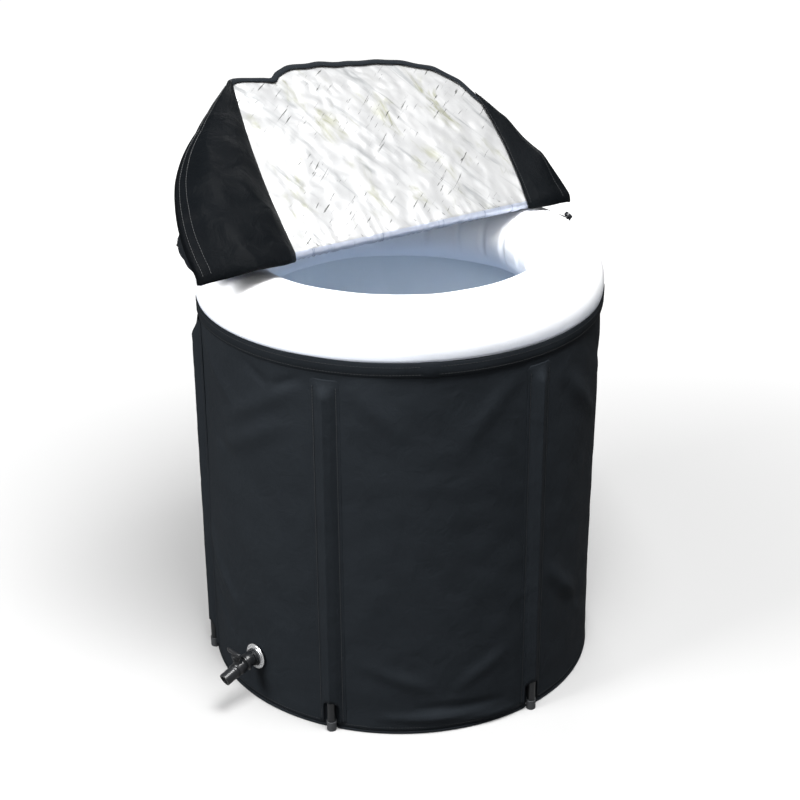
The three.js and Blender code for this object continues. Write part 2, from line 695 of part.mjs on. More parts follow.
function buildTap(tap) {
  const bodyStart = ELBOW_OUTLET + SEAT_GAP;
  const bodyEnd = bodyStart + TAP_BODY_LENGTH;
  const ballPlace = mix(bodyStart + TAP_FLANGE, bodyEnd, 0.5);
  const round = Math.cos(Math.PI / SMALL_FACETS);
  const seatRadius = (TAP_BALL_RADIUS + SEAT_GAP) / round ** 2;
  const stemBore = (TAP_STEM_RADIUS + SEAT_GAP) / round;
  const atBall = new THREE.Matrix4().makeTranslation(ballPlace, 0, 0);

  const shell = [
    [0, bodyStart],
    [TAP_FLANGE_RADIUS, bodyStart],
    [TAP_FLANGE_RADIUS, bodyStart + TAP_FLANGE],
    [TAP_BARREL_RADIUS, bodyStart + TAP_FLANGE],
    [TAP_BULGE_RADIUS, mix(bodyStart + TAP_FLANGE, ballPlace, 0.5)],
    [TAP_BULGE_RADIUS, mix(ballPlace, bodyEnd, 0.5)],
    [TAP_BARREL_RADIUS, bodyEnd],
    [0, bodyEnd],
  ];
  const body = solid(turnedAlongX(shell))
    .add(solid(turned(rodProfile(TAP_NECK_RADIUS, 0, TAP_NECK_TOP)), atBall))
    .subtract(solid(turnedAlongX(rodProfile(DRAIN_BORE_RADIUS, 0, 2 * bodyEnd))))
    .subtract(solid(uprightBall(seatRadius), atBall))
    .subtract(solid(turned(rodProfile(stemBore, 0, 2 * TAP_NECK_TOP)), atBall));
  piece(tap, 'tap_body', geometryOf(body), blackPlastic);

  // The ball's bore lies across the flow: the tap is shut.
  const hubBottom = TAP_NECK_TOP + SEAT_GAP;
  const stemTop = hubBottom + TAP_STEM_GRIP;
  const across = new THREE.Matrix4().makeRotationZ(Math.PI / 2);
  const ball = solid(uprightBall(TAP_BALL_RADIUS))
    .subtract(solid(turnedAlongX(rodProfile(TAP_BALL_BORE_RADIUS, -2 * seatRadius, 2 * seatRadius)), across))
    .add(solid(turned(rodProfile(TAP_STEM_RADIUS, TAP_BALL_BORE_RADIUS + SEAT_GAP, stemTop))));
  const turning = placedGroup(tap, atBall);
  piece(turning, 'tap_ball', geometryOf(ball), blackPlastic);

  const hubTop = hubBottom + HANDLE_HUB;
  const wing = new THREE.Shape();
  const wingRound = HANDLE_HEIGHT / 2;
  const wingHalf = HANDLE_SPAN / 2;
  wing.moveTo(-HANDLE_HUB_RADIUS / 2, hubTop - HANDLE_HUB / 2);
  wing.lineTo(HANDLE_HUB_RADIUS / 2, hubTop - HANDLE_HUB / 2);
  wing.lineTo(wingHalf - wingRound, hubTop);
  wing.absarc(wingHalf - wingRound, hubTop + wingRound, wingRound, -Math.PI / 2, Math.PI / 2);
  wing.lineTo(-wingHalf + wingRound, hubTop + HANDLE_HEIGHT);
  wing.absarc(-wingHalf + wingRound, hubTop + wingRound, wingRound, Math.PI / 2, 3 * Math.PI / 2);
  wing.closePath();
  const wingSolid = extruded(wing, HANDLE_THICKNESS).translate(0, 0, -HANDLE_THICKNESS / 2)
    .rotateX(Math.PI / 2).rotateZ(Math.PI / 2);
  const handle = solid(turned(rodProfile(HANDLE_HUB_RADIUS, hubBottom, hubTop)))
    .add(solid(wingSolid))
    .subtract(solid(turned(rodProfile(stemBore, 0, stemTop + SEAT_GAP))));
  piece(turning, 'tap_handle', geometryOf(handle), blackPlastic);

  const spoutStart = bodyEnd + SEAT_GAP;
  const spoutEnd = spoutStart + SPOUT_LENGTH;
  const lipRadius = TAP_BARREL_RADIUS + SPOUT_LIP;
  const spout = [
    [DRAIN_BORE_RADIUS, spoutStart],
    [lipRadius, spoutStart],
    [lipRadius, spoutStart + SPOUT_LIP_WIDTH],
    [TAP_BARREL_RADIUS, spoutStart + SPOUT_LIP_WIDTH],
    [TAP_BARREL_RADIUS, spoutEnd],
    [SPOUT_BORE_RADIUS, spoutEnd],
    [SPOUT_BORE_RADIUS, spoutStart + SPOUT_LIP_WIDTH],
    [DRAIN_BORE_RADIUS, spoutStart + SPOUT_LIP_WIDTH],
  ];
  piece(tap, 'tap_spout', turnedAlongX(spout), blackPlastic);
}

// Lid: local X runs along the fold, local Y to the back, and 0 is the fold itself

function rimPoint(side, turn, radius, height) {
  return new THREE.Vector3(radius * Math.cos(rad(turn)), side * radius * Math.sin(rad(turn)), height);
}

function rimRadius(side, turn) {
  if (side > 0) return lidRadius;
  const after = Math.max(1, FLAP_RIM.findIndex(([end]) => end >= turn));
  const [start, startChange] = FLAP_RIM[after - 1];
  const [end, endChange] = FLAP_RIM[after];
  return lidRadius + mix(startChange, endChange, (turn - start) / (end - start));
}

function bindingTurn(along) {
  return mix(BINDING_START, 180 - BINDING_START, along);
}

function lidLayer(side, top, thickness) {
  const edge = THREE.MathUtils.radToDeg(Math.asin(LID_FOLD_GAP / lidRadius));
  const bound = Array.from({ length: LID_ARC_STEPS + 1 }, (_, i) => bindingTurn(i / LID_ARC_STEPS));
  const rim = [edge, ...bound, 180 - edge].map((turn) => rimPoint(side, turn, rimRadius(side, turn), 0));
  const shape = new THREE.Shape(flat(rim));
  return extruded(shape, thickness).translate(0, 0, top - thickness);
}

function bindingSheet(side) {
  const low = -SEAT_GAP - lidThickness;
  const face = (offset) => grid(1, LID_ARC_STEPS, (up, along) => {
    const turn = bindingTurn(along);
    return rimPoint(side, turn, rimRadius(side, turn) + offset, mix(low, -SEAT_GAP, up));
  });
  return sheetBetween(face(SEAT_GAP), face(SEAT_GAP + LID_BINDING));
}

function buildLidHalf(group, side, label) {
  const coverTop = -SEAT_GAP;
  const foamTop = coverTop - LID_COVER - SEAT_GAP;
  const foilTop = foamTop - LID_FOAM - SEAT_GAP;
  piece(group, `lid_${label}_cover`, lidLayer(side, coverTop, LID_COVER), blackCloth);
  piece(group, `lid_${label}_foam`, lidLayer(side, foamTop, LID_FOAM), paleFoam);
  piece(group, `lid_${label}_foil`, lidLayer(side, foilTop, LID_FOIL), silverFoil);
  piece(group, `lid_${label}_binding`, bindingSheet(side), blackCloth);
}

// The skirt of the back half hangs outside the ring in soft waves, and lifts towards the fold.
function rearSkirt() {
  const start = bindingOuter + SEAT_GAP;
  const face = (offset) => grid(REAR_SKIRT_ROWS, LID_ARC_STEPS, (down, along) => {
    const turn = mix(REAR_SKIRT_START, 180 - REAR_SKIRT_START, along);
    const fromEnd = Math.min(turn, 180 - turn) - REAR_SKIRT_START;
    const full = THREE.MathUtils.smoothstep(fromEnd, 0, REAR_SKIRT_FULL - REAR_SKIRT_START);
    const depth = mix(REAR_SKIRT_END_DEPTH, REAR_SKIRT_DEPTH, full);
    const wave = 0.5 - 0.5 * Math.cos(2 * Math.PI * REAR_SKIRT_WAVES * along);
    return rimPoint(1, turn, start + offset + REAR_SKIRT_WAVE * wave * down, -SEAT_GAP - depth * down);
  });
  return sheetBetween(face(0), face(CLOTH));
}

// The skirt over the middle of the raised half has fallen back on its cover.
function topSkirt() {
  const face = (offset) => grid(TOP_SKIRT_ROWS, TOP_SKIRT_COLUMNS, (inward, along) => {
    const turn = mix(TOP_SKIRT_START, TOP_SKIRT_END, along);
    const puff = TOP_SKIRT_PUFF * Math.sin(Math.PI * inward) * Math.sin(Math.PI * along);
    return rimPoint(-1, turn, rimRadius(-1, turn) - TOP_SKIRT_DEPTH * inward, puff + offset);
  });
  return sheetBetween(face(0), face(CLOTH));
}

// At each end of the fold the skirt is gathered in over the foil: a sheet from the rim to a
// slanting inner edge, puffed up between them, most of all near the fold.
function wing(direction, foot, top, puff) {
  const under = -2 * SEAT_GAP - lidThickness;
  const topTurn = THREE.MathUtils.radToDeg(Math.acos(top / lidRadius));
  const rimAt = (turn) => rimPoint(1, turn, rimRadius(-1, direction > 0 ? turn : 180 - turn), 0);
  const apex = rimAt(topTurn);
  const face = (offset) => grid(WING_STEPS, WING_STEPS, (up, inward) => {
    const rim = rimAt(topTurn * up);
    const across = mix(rim.x, mix(foot, apex.x, up), inward);
    const out = mix(rim.y, apex.y * up, inward) + LID_FOLD_GAP * (1 - up);
    const rise = puff * Math.sin(Math.PI * inward) * (1 - up * up);
    return new THREE.Vector3(direction * across, -out, under - rise - offset);
  });
  return sheetBetween(face(0), face(WING_CLOTH));
}

function buildLid(tub) {
  const place = new THREE.Matrix4().makeRotationZ(rad(LID_FOLD_TURN)).setPosition(0, 0, hingeHeight);
  const rear = placedGroup(tub, place);
  buildLidHalf(rear, 1, 'rear');
  piece(rear, 'lid_rear_skirt', rearSkirt(), blackCloth);

  const flap = new THREE.Group();
  flap.rotation.x = -rad(LID_OPEN_ANGLE);
  rear.add(flap);
  buildLidHalf(flap, -1, 'flap');
  piece(flap, 'lid_top_skirt', topSkirt(), blackCloth);
  piece(flap, 'lid_left_wing', wing(-1, LEFT_WING_FOOT, LEFT_WING_TOP, LEFT_WING_PUFF), blackCloth);
  piece(flap, 'lid_right_wing', wing(1, RIGHT_WING_FOOT, RIGHT_WING_TOP, RIGHT_WING_PUFF), blackCloth);
}

const tub = new THREE.Group();
buildWall(tub);
buildRing(tub);
for (let number = 1; number <= POLE_COUNT; number += 1) buildPole(tub, number);
buildDrain(tub);
buildLid(tub);

export default tub;
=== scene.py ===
"""Looks of a round, foldable cold plunge tub: black cloth wall on poles, white liner and
air ring, drain tap, and a foil lined lid whose front half is folded open.

Metres, +Z up, -Y is the front panel. Azimuths are degrees from -Y towards +X.
"""

import json
import math

import bmesh
import bpy
import numpy as np
from mathutils import Matrix, Vector, noise


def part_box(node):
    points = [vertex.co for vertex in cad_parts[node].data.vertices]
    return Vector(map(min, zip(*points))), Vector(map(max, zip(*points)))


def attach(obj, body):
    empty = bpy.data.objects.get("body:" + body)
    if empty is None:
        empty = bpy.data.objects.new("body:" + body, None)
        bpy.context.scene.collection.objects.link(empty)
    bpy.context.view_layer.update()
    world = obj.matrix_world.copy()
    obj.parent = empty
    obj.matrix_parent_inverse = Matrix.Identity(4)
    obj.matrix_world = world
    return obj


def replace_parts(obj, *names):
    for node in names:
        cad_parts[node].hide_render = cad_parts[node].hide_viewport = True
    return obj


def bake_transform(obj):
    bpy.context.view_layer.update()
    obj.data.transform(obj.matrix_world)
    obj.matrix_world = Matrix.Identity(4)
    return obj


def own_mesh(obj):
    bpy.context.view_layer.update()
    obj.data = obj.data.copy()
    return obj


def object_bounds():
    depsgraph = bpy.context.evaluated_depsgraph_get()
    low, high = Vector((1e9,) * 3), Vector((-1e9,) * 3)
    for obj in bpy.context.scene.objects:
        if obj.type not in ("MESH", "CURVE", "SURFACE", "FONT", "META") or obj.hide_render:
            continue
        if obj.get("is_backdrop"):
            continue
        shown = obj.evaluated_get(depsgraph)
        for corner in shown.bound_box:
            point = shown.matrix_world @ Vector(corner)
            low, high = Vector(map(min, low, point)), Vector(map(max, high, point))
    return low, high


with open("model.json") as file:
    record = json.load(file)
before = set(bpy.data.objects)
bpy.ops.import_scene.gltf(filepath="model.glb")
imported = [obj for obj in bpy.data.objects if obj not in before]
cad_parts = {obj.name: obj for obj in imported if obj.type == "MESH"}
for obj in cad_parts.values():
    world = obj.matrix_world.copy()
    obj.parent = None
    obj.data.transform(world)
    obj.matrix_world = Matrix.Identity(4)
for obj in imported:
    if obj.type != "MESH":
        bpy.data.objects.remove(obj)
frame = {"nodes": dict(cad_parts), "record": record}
cad_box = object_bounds()
MM = 0.001
TAU = 2 * math.pi

# Sizes read from the frame
WALL_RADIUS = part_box("outer_jacket")[1][1]
WALL_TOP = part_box("outer_jacket")[1][2]
LINER_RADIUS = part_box("liner_front")[1][0]
LINER_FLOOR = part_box("liner_floor")[0][2]
RING_LOW, RING_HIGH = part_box("air_ring")
RING_TUBE = (RING_HIGH[2] - RING_LOW[2]) / 2
RING_RADIUS = RING_HIGH[0] - RING_TUBE
RING_HEIGHT = RING_HIGH[2] - RING_TUBE
LID_FOLD = {joint["name"]: joint for joint in frame["record"]["behaviour"]["joints"]}["lid_fold"]
HINGE = np.array(LID_FOLD["pos_m"])
FOLD = LID_FOLD["axis"]
LID_OPEN = math.radians(LID_FOLD["range_deg"][1])
LID_THICKNESS = HINGE[2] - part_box("lid_rear_foil")[0][2]
LID_RADIUS = 0.400

# The photograph's view, solved from the rims of the wall, and its bright studio
VIEW_FROM = (-0.5089, -2.8862, 1.8371)
VIEW_ALONG = (0.1582, 0.8970, -0.4129)
VIEW_ROLL = math.radians(-0.33)
VIEW_LENS = 75.2
SKY_LIGHT = 0.24
FLOOR_HALF = 14.0
FLOOR_GLOW = 0.90

# Cloth wall
POLES = [30 + 60 * i for i in range(6)]
ROUND = np.linspace(-180, 180, 480, endpoint=False)
POLE_AXIS = 0.3795
POLE_RADIUS = 0.0077
POLE_BED = 0.005
FOAM_WALL = 0.3670, 0.3682
SLEEVE_HALF = 0.027
SLEEVE_CORNER = 0.009
SEAM_LINE = 0.0215
SEAM_SEAT = 0.024
SEAT_DIP = 0.001
SLEEVE_TOP = WALL_TOP - 0.035
SLEEVE_LOW = 0.012
ARCH_TOP = 0.062
ARCH_HALF = 0.016
CLOTH = 0.0016
HEM_DEPTH = 0.024
THREAD = 0.0005
STITCH_PITCH = 0.0055
STITCH = STITCH_PITCH * 0.72


# Shader expressions

class Value:
    """A shader number or colour. Arithmetic on it adds Math nodes."""

    def __init__(self, paint, socket):
        self.paint = paint
        self.socket = socket

    def math(self, operation, *others):
        return self.paint.node("ShaderNodeMath", {"operation": operation}, dict(enumerate((self, *others))))

    def __add__(self, other):
        return self.math("ADD", other)

    def __sub__(self, other):
        return self.math("SUBTRACT", other)

    def __rsub__(self, other):
        return self * -1.0 + other

    def __mul__(self, other):
        return self.math("MULTIPLY", other)

    __radd__ = __add__
    __rmul__ = __mul__

    def step(self, low, high):
        """0 below low, 1 above high, smooth between them."""
        settings = {"interpolation_type": "SMOOTHSTEP"}
        return self.paint.node("ShaderNodeMapRange", settings, {0: self, 1: low, 2: high, 3: 0.0, 4: 1.0})


class Paint:
    """One procedural material."""

    def __init__(self, name):
        self.material = bpy.data.materials.new(name)
        self.material.use_nodes = True
        self.tree = self.material.node_tree
        self.shader = self.tree.nodes["Principled BSDF"]

    def node(self, kind, settings=None, inputs=None, output=0):
        made = self.tree.nodes.new(kind)
        for name, value in (settings or {}).items():
            setattr(made, name, value)
        for key, value in (inputs or {}).items():
            self.feed(made.inputs[key], value)
        return Value(self, made.outputs[output])

    def feed(self, socket, value):
        if isinstance(value, Value):
            self.tree.links.new(value.socket, socket)
        else:
            socket.default_value = value

    def set(self, **sockets):
        for name, value in sockets.items():
            self.feed(self.shader.inputs[name.replace("_", " ")], value)

    def place(self, by_uv=False):
        return self.node("ShaderNodeTexCoord", output=2 if by_uv else 3)

    def axes(self, place):
        first = self.node("ShaderNodeSeparateXYZ", None, {0: place})
        return [Value(self, socket) for socket in first.socket.node.outputs]

    def stretched(self, place, scale):
        return self.node("ShaderNodeVectorMath", {"operation": "MULTIPLY"}, {0: place, 1: scale})

    def turned(self, place, degrees, scale):
        """The place turned in its own plane, then stretched."""
        inputs = {"Vector": place, "Rotation": (0, 0, math.radians(degrees))}
        return self.stretched(self.node("ShaderNodeMapping", None, inputs), scale)

    def noise(self, place, scale, detail=3.0, roughness=0.5, distortion=0.0):
        inputs = {"Vector": place, "Scale": scale, "Detail": detail}
        inputs.update({"Roughness": roughness, "Distortion": distortion})
        return self.node("ShaderNodeTexNoise", None, inputs)

    def cells(self, place, scale):
        return self.node("ShaderNodeTexVoronoi", None, {"Vector": place, "Scale": scale})

    def blend(self, share, first, second):
        colours = [value if isinstance(value, Value) else (*value, 1.0) for value in (first, second)]
        return self.node("ShaderNodeMix", {"data_type": "RGBA"}, {0: share, 6: colours[0], 7: colours[1]}, 2)

    def bump(self, height, strength, distance, under=None):
        inputs = {"Height": height, "Strength": strength, "Distance": distance}
        if under is not None:
            inputs["Normal"] = under
        return self.node("ShaderNodeBump", None, inputs)


def weave(paint, pitch):
    """Basket weave of a coated oxford cloth, from the cloth's own metres."""
    place = paint.place(by_uv=True)
    u, v, _ = paint.axes(place)
    turns = TAU / pitch
    return ((u * turns).math("SINE") * (v * turns).math("SINE") + 1.0) * 0.5, place


def oxford_cloth(name, pale, rough, shine, crease):
    """Black coated cloth: how pale, rough and shiny it is, and how strongly it creases."""
    paint = Paint(name)
    threads, place = weave(paint, 1.7 * MM)
    solid_place = paint.place()
    cloudy = paint.noise(solid_place, 9.0, 4.0, 0.6)
    dust = paint.noise(solid_place, 420.0, 2.0, 0.6).step(0.60, 0.74)
    slub = paint.noise(paint.stretched(place, (60.0, 900.0, 1.0)), 1.0, 2.0)
    shades = (0.0058, 0.0076, 0.0098), (0.0150, 0.0184, 0.0224), (0.030, 0.033, 0.038)
    dark, light, speck = (tuple(pale * c for c in shade) for shade in shades)
    colour = paint.blend(cloudy * 0.55 + threads * 0.25 + slub * 0.2, dark, light)
    colour = paint.blend(dust * 0.16, colour, speck)
    creases = paint.noise(solid_place, 26.0, 5.0, 0.55, 0.6)
    under = paint.bump(creases, crease, 4.0 * MM)
    paint.set(Base_Color=colour, Roughness=rough + cloudy * 0.14 - threads * 0.06)
    paint.set(Normal=paint.bump(threads + slub * 0.6, 0.45, 0.35 * MM, under))
    paint.set(IOR=1.25, Specular_IOR_Level=shine)
    return paint.material


def thread():
    paint = Paint("black_thread")
    twist = paint.noise(paint.place(), 900.0, 2.0)
    paint.set(Base_Color=paint.blend(twist, (0.004, 0.005, 0.006), (0.014, 0.016, 0.018)))
    paint.set(Roughness=0.5 + twist * 0.2)
    return paint.material


def white_vinyl(name, tint, rough, painted_shade_tint=None):
    """Soft white sheet. Where a tint for its low part is given, the sheet takes that tint below the middle
    of the ring, as painted shade of the tub's mouth.
    """
    paint = Paint(name)
    place = paint.place()
    soft = paint.noise(place, 5.0, 4.0, 0.55)
    creases = paint.noise(place, 24.0, 5.0, 0.6, 1.2)
    grain = paint.noise(place, 900.0, 2.0)
    shade = tuple(0.93 * c for c in tint)
    under = paint.bump(creases, 0.22, 4.0 * MM)
    colour = paint.blend(soft.step(0.35, 0.75), shade, tint)
    if painted_shade_tint:
        # Painted shade: below the ring's middle the colour turns to the bluish tint, standing in for the
        # shade inside the tub's mouth
        _, _, height = paint.axes(place)
        colour = paint.blend(height.step(RING_HEIGHT - 0.055, RING_HEIGHT + 0.030), painted_shade_tint, colour)
    paint.set(Base_Color=colour)
    paint.set(Roughness=rough + soft * 0.12, Normal=paint.bump(grain, 0.12, 0.2 * MM, under))
    paint.set(Subsurface_Weight=0.08, Subsurface_Radius=(0.006, 0.006, 0.007), Specular_IOR_Level=0.4)
    return paint.material


def crinkled_foil():
    """Bright metal film on foam: soft crumples, grey streaks, greenish patches, short dark crease lines and
    dark puckers by the fold that are painted shade, and a bluish band of painted shade under the fold.
    """
    paint = Paint("crinkled_foil")
    place = paint.place()
    film = paint.place(by_uv=True)
    patch = paint.noise(place, 9.0, 3.0, 0.55)
    streak = paint.noise(paint.turned(film, 62, (5.0, 42.0, 1.0)), 1.0, 4.0, 0.6, 0.8).step(0.52, 0.74)
    # Painted shade: short dark lines laid along the foil's crinkles
    painted_crease_shade = paint.noise(paint.turned(film, -38, (16.0, 210.0, 1.0)), 1.0, 3.0, 0.6, 0.6).step(0.625, 0.67)
    painted_crease_shade = painted_crease_shade * paint.noise(place, 13.0, 2.0).step(0.44, 0.56)
    olive = paint.noise(paint.turned(film, 75, (7.0, 22.0, 1.0)), 1.0, 4.0, 0.65, 0.7).step(0.52, 0.68)
    olive = olive * patch.step(0.42, 0.58)
    _, run, _ = paint.axes(film)
    fold = 1.0 - run.step(0.0, 0.075)
    # Puckers by the fold, painted dark as shade in their creases
    puckers = paint.noise(paint.turned(film, 68, (34.0, 150.0, 1.0)), 1.0, 3.0, 0.6, 0.4).step(0.60, 0.68)
    puckers = puckers * fold
    colour = paint.blend(patch, (0.355, 0.36, 0.365), (0.465, 0.465, 0.465))
    colour = paint.blend(streak * 0.75, colour, (0.20, 0.21, 0.215))
    colour = paint.blend(olive * 0.80, colour, (0.20, 0.205, 0.12))
    colour = paint.blend(painted_crease_shade * 0.85 + puckers * 0.75, colour, (0.025, 0.026, 0.022))
    shards = paint.cells(place, 30.0)
    # Painted shade: a bluish band on the foil just under the fold, where the roll turns down and away from
    # the light
    under = 1.0 - run.step(-0.004, 0.012)
    colour = paint.blend(under * 0.6, colour, (0.34, 0.40, 0.56))
    paint.set(Base_Color=colour, Metallic=0.5, Roughness=0.30 + patch * 0.16)
    paint.set(Normal=paint.bump(shards * 0.9, 0.40, 2.5 * MM))
    return paint.material


def moulded(name, dark, light, rough):
    paint = Paint(name)
    place = paint.place()
    speckle = paint.noise(place, 700.0, 2.0)
    wear = paint.noise(place, 60.0, 3.0)
    paint.set(Base_Color=paint.blend(wear, dark, light), Roughness=rough + wear * 0.12)
    paint.set(Normal=paint.bump(speckle, 0.10, 0.2 * MM))
    return paint.material


def plated():
    paint = Paint("plated_brass")
    place = paint.place()
    haze = paint.noise(place, 90.0, 3.0)
    paint.set(Base_Color=paint.blend(haze, (0.86, 0.87, 0.88), (0.96, 0.96, 0.97)), Metallic=0.85)
    paint.set(Roughness=0.16 + haze * 0.10, Normal=paint.bump(haze, 0.05, 0.3 * MM))
    return paint.material


def foam():
    paint = Paint("closed_cell_foam")
    place = paint.place()
    cells = paint.cells(place, 420.0)
    paint.set(Base_Color=paint.blend(cells, (0.50, 0.51, 0.52), (0.72, 0.73, 0.74)), Roughness=0.9)
    paint.set(Normal=paint.bump(cells, 0.4, 0.5 * MM))
    return paint.material


# Each finish: its material and its slot in the exported model
FINISHES = {
    "cloth": (oxford_cloth("coated_oxford", 1.0, 0.80, 0.30, 0.55), "black_cloth"),
    "lid_cloth": (oxford_cloth("lid_oxford", 0.24, 0.38, 0.08, 1.0), "black_cloth"),
    "hem_cloth": (oxford_cloth("hem_tape", 0.8, 0.75, 0.22, 0.55), "black_cloth"),
    "thread": (thread(), "black_cloth"),
    # The ring's last tint is painted shade on its lower side, in the tub's mouth
    "ring": (white_vinyl("ring_vinyl", (0.90, 0.905, 0.915), 0.34, (0.74, 0.81, 0.95)), "white_vinyl"),
    "liner": (white_vinyl("liner_vinyl", (0.83, 0.91, 1.0), 0.42), "white_vinyl"),
    "foil": (crinkled_foil(), "foil"),
    "plastic": (moulded("black_plastic", (0.006, 0.007, 0.008), (0.013, 0.014, 0.016), 0.26),
                "black_plastic"),
    "rubber": (moulded("black_rubber", (0.022, 0.024, 0.027), (0.048, 0.051, 0.055), 0.55), "black_rubber"),
    "chrome": (plated(), "bright_metal"),
    "foam": (foam(), "foam"),
}


# Meshes

def placed(name, data):
    made = bpy.data.objects.new(name, data)
    bpy.context.scene.collection.objects.link(made)
    return made


def circle(steps):
    return np.linspace(0, TAU, steps, endpoint=False)


def unit(value):
    return np.clip(value, 0, 1)


def eased(share):
    return share * share * (3 - 2 * share)


def polar(azimuth, radius, height):
    """Point or array of points round the tub axis."""
    turn = np.radians(azimuth)
    return np.stack(np.broadcast_arrays(radius * np.sin(turn), -radius * np.cos(turn), height), -1)


def piece(name, points, faces, finish, uv=None, closed=True):
    """An object with a finish. A closed mesh is smooth and its faces point out."""
    mesh = bpy.data.meshes.new(name)
    mesh.from_pydata(np.reshape(points, (-1, 3)).tolist(), [], faces)
    mesh.update()
    if uv is not None:
        layer = mesh.uv_layers.new(name="cloth_metres")
        corners = np.empty(len(mesh.loops), int)
        mesh.loops.foreach_get("vertex_index", corners)
        layer.data.foreach_set("uv", np.reshape(uv, (-1, 2))[corners].ravel())
    material, slot = FINISHES[finish]
    mesh.materials.append(material)
    if closed:
        mesh.polygons.foreach_set("use_smooth", [True] * len(mesh.polygons))
        work = bmesh.new()
        work.from_mesh(mesh)
        bmesh.ops.remove_doubles(work, verts=work.verts, dist=1e-6)
        bmesh.ops.recalc_face_normals(work, faces=work.faces)
        work.to_mesh(mesh)
        work.free()
    made = placed(name, mesh)
    return made


def lattice(rows, columns, wrap=False, first=0):
    """Quads of a grid whose points are stored row by row."""
    turns = columns if wrap else columns - 1
    quads = []
    for row in range(rows - 1):
        for column in range(turns):
            after = (column + 1) % columns
            low, high = first + row * columns, first + (row + 1) * columns
            quads.append((low + column, low + after, high + after, high + column))
    return quads


def sheet_piece(name, points, finish, uv, thickness, wrap=False, outward=1):
    """A cloth sheet from a grid of points, with its thickness and its cut edges."""
    rows, columns = points.shape[:2]
    along = np.roll(points, -1, 1) - np.roll(points, 1, 1) if wrap else np.gradient(points, axis=1)
    normal = np.cross(along, np.gradient(points, axis=0))
    normal /= np.maximum(np.linalg.norm(normal, axis=-1, keepdims=True), 1e-12)
    back = points + outward * thickness * normal
    total = rows * columns
    rims = []
    for row in (0, rows - 1):
        ids = [row * columns + column for column in range(columns)]
        rims.append(ids + ids[:1] if wrap else ids)
    if not wrap:
        rims.append([r * columns for r in range(rows)])
        rims.append([r * columns + columns - 1 for r in range(rows)])
    faces = lattice(rows, columns, wrap) + [quad[::-1] for quad in lattice(rows, columns, wrap, total)]
    for ids in rims:
        faces += [(a, b, b + total, a + total) for a, b in zip(ids, ids[1:])]
    return piece(name, [points, back], faces, finish, [uv, uv])


def filleted(profile, radius, steps=4, closed=True):
    """Round every corner of a profile of [radius, height] points."""
    points = [Vector(p) for p in profile]
    count = len(points)
    result = []
    for i, corner in enumerate(points):
        if not closed and i in (0, count - 1):
            result.append(tuple(corner))
            continue
        before, after = points[i - 1] - corner, points[(i + 1) % count] - corner
        reach = min(radius, 0.45 * before.length, 0.45 * after.length)
        start, end = corner + before.normalized() * reach, corner + after.normalized() * reach
        for step in range(steps + 1):
            t = step / steps
            result.append(tuple(start * (1 - t) ** 2 + corner * 2 * t * (1 - t) + end * t ** 2))
    return result


def turned_piece(name, profile, place, finish, steps=48, closed=True):
    """A profile of [radius, height] points turned about the Z axis of place."""
    turns = circle(steps)
    points = [place @ Vector((r * math.cos(t), r * math.sin(t), h)) for r, h in profile for t in turns]
    faces = lattice(len(profile), steps, True)
    if closed:
        last = (len(profile) - 1) * steps
        faces += [(last + i, last + (i + 1) % steps, (i + 1) % steps, i) for i in range(steps)]
    return piece(name, points, faces, finish)


def combined(first, other, operation):
    """Join a closed piece to another, or cut the other from it."""
    change = first.modifiers.new("shape", "BOOLEAN")
    change.operation = operation
    change.solver = "EXACT"
    change.object = other
    bpy.context.view_layer.update()
    shaped = first.evaluated_get(bpy.context.evaluated_depsgraph_get())
    mesh = bpy.data.meshes.new_from_object(shaped)
    first.modifiers.clear()
    first.data = mesh
    bpy.data.objects.remove(other)
    return first


STITCH_FACES = (0, 4, 5, 1), (4, 3, 2, 5), (1, 5, 2), (0, 3, 4), (0, 1, 2, 3)


def stitched(name, lines, body):
    """Rows of single stitches along lines of (point, normal), sunk half way into the cloth."""
    points, faces = [], []
    for line, normals in lines:
        line, normals = np.asarray(line), np.asarray(normals)
        run = np.concatenate([[0], np.cumsum(np.linalg.norm(np.diff(line, axis=0), axis=1))])
        starts = np.arange(STITCH_PITCH * 0.5, run[-1] - STITCH_PITCH, STITCH_PITCH)
        ends = starts + STITCH
        at = lambda where, data: np.stack([np.interp(where, run, data[:, k]) for k in range(3)], -1)
        for p, q, n in zip(at(starts, line), at(ends, line), at(starts, normals)):
            side = np.cross(q - p, n)
            side *= THREAD / max(np.linalg.norm(side), 1e-9)
            lift = n * THREAD / max(np.linalg.norm(n), 1e-9)
            middle = (p + q) / 2 + lift
            base = len(points)
            points += [p - side, p + side, q + side, q - side, middle - side * 0.7, middle + side * 0.7]
            faces += [tuple(base + corner for corner in face) for face in STITCH_FACES]
    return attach(piece(name, points, faces, "thread", closed=False), body)


# Camera and studio

def aim_camera():
    camera = placed("camera", bpy.data.cameras.new("camera"))
    camera.data.lens = VIEW_LENS
    camera.location = VIEW_FROM
    level = Vector(VIEW_ALONG).to_track_quat("-Z", "Y")
    camera.rotation_euler = (level.to_matrix() @ Matrix.Rotation(VIEW_ROLL, 3, "Z")).to_euler()
    bpy.context.scene.camera = camera


def light(name, place, aim, size, watts):
    lamp = bpy.data.lights.new(name, "AREA")
    lamp.size = size
    lamp.energy = watts
    made = placed(name, lamp)
    made.location = place
    made.rotation_euler = (Vector(aim) - Vector(place)).to_track_quat("-Z", "Y").to_euler()


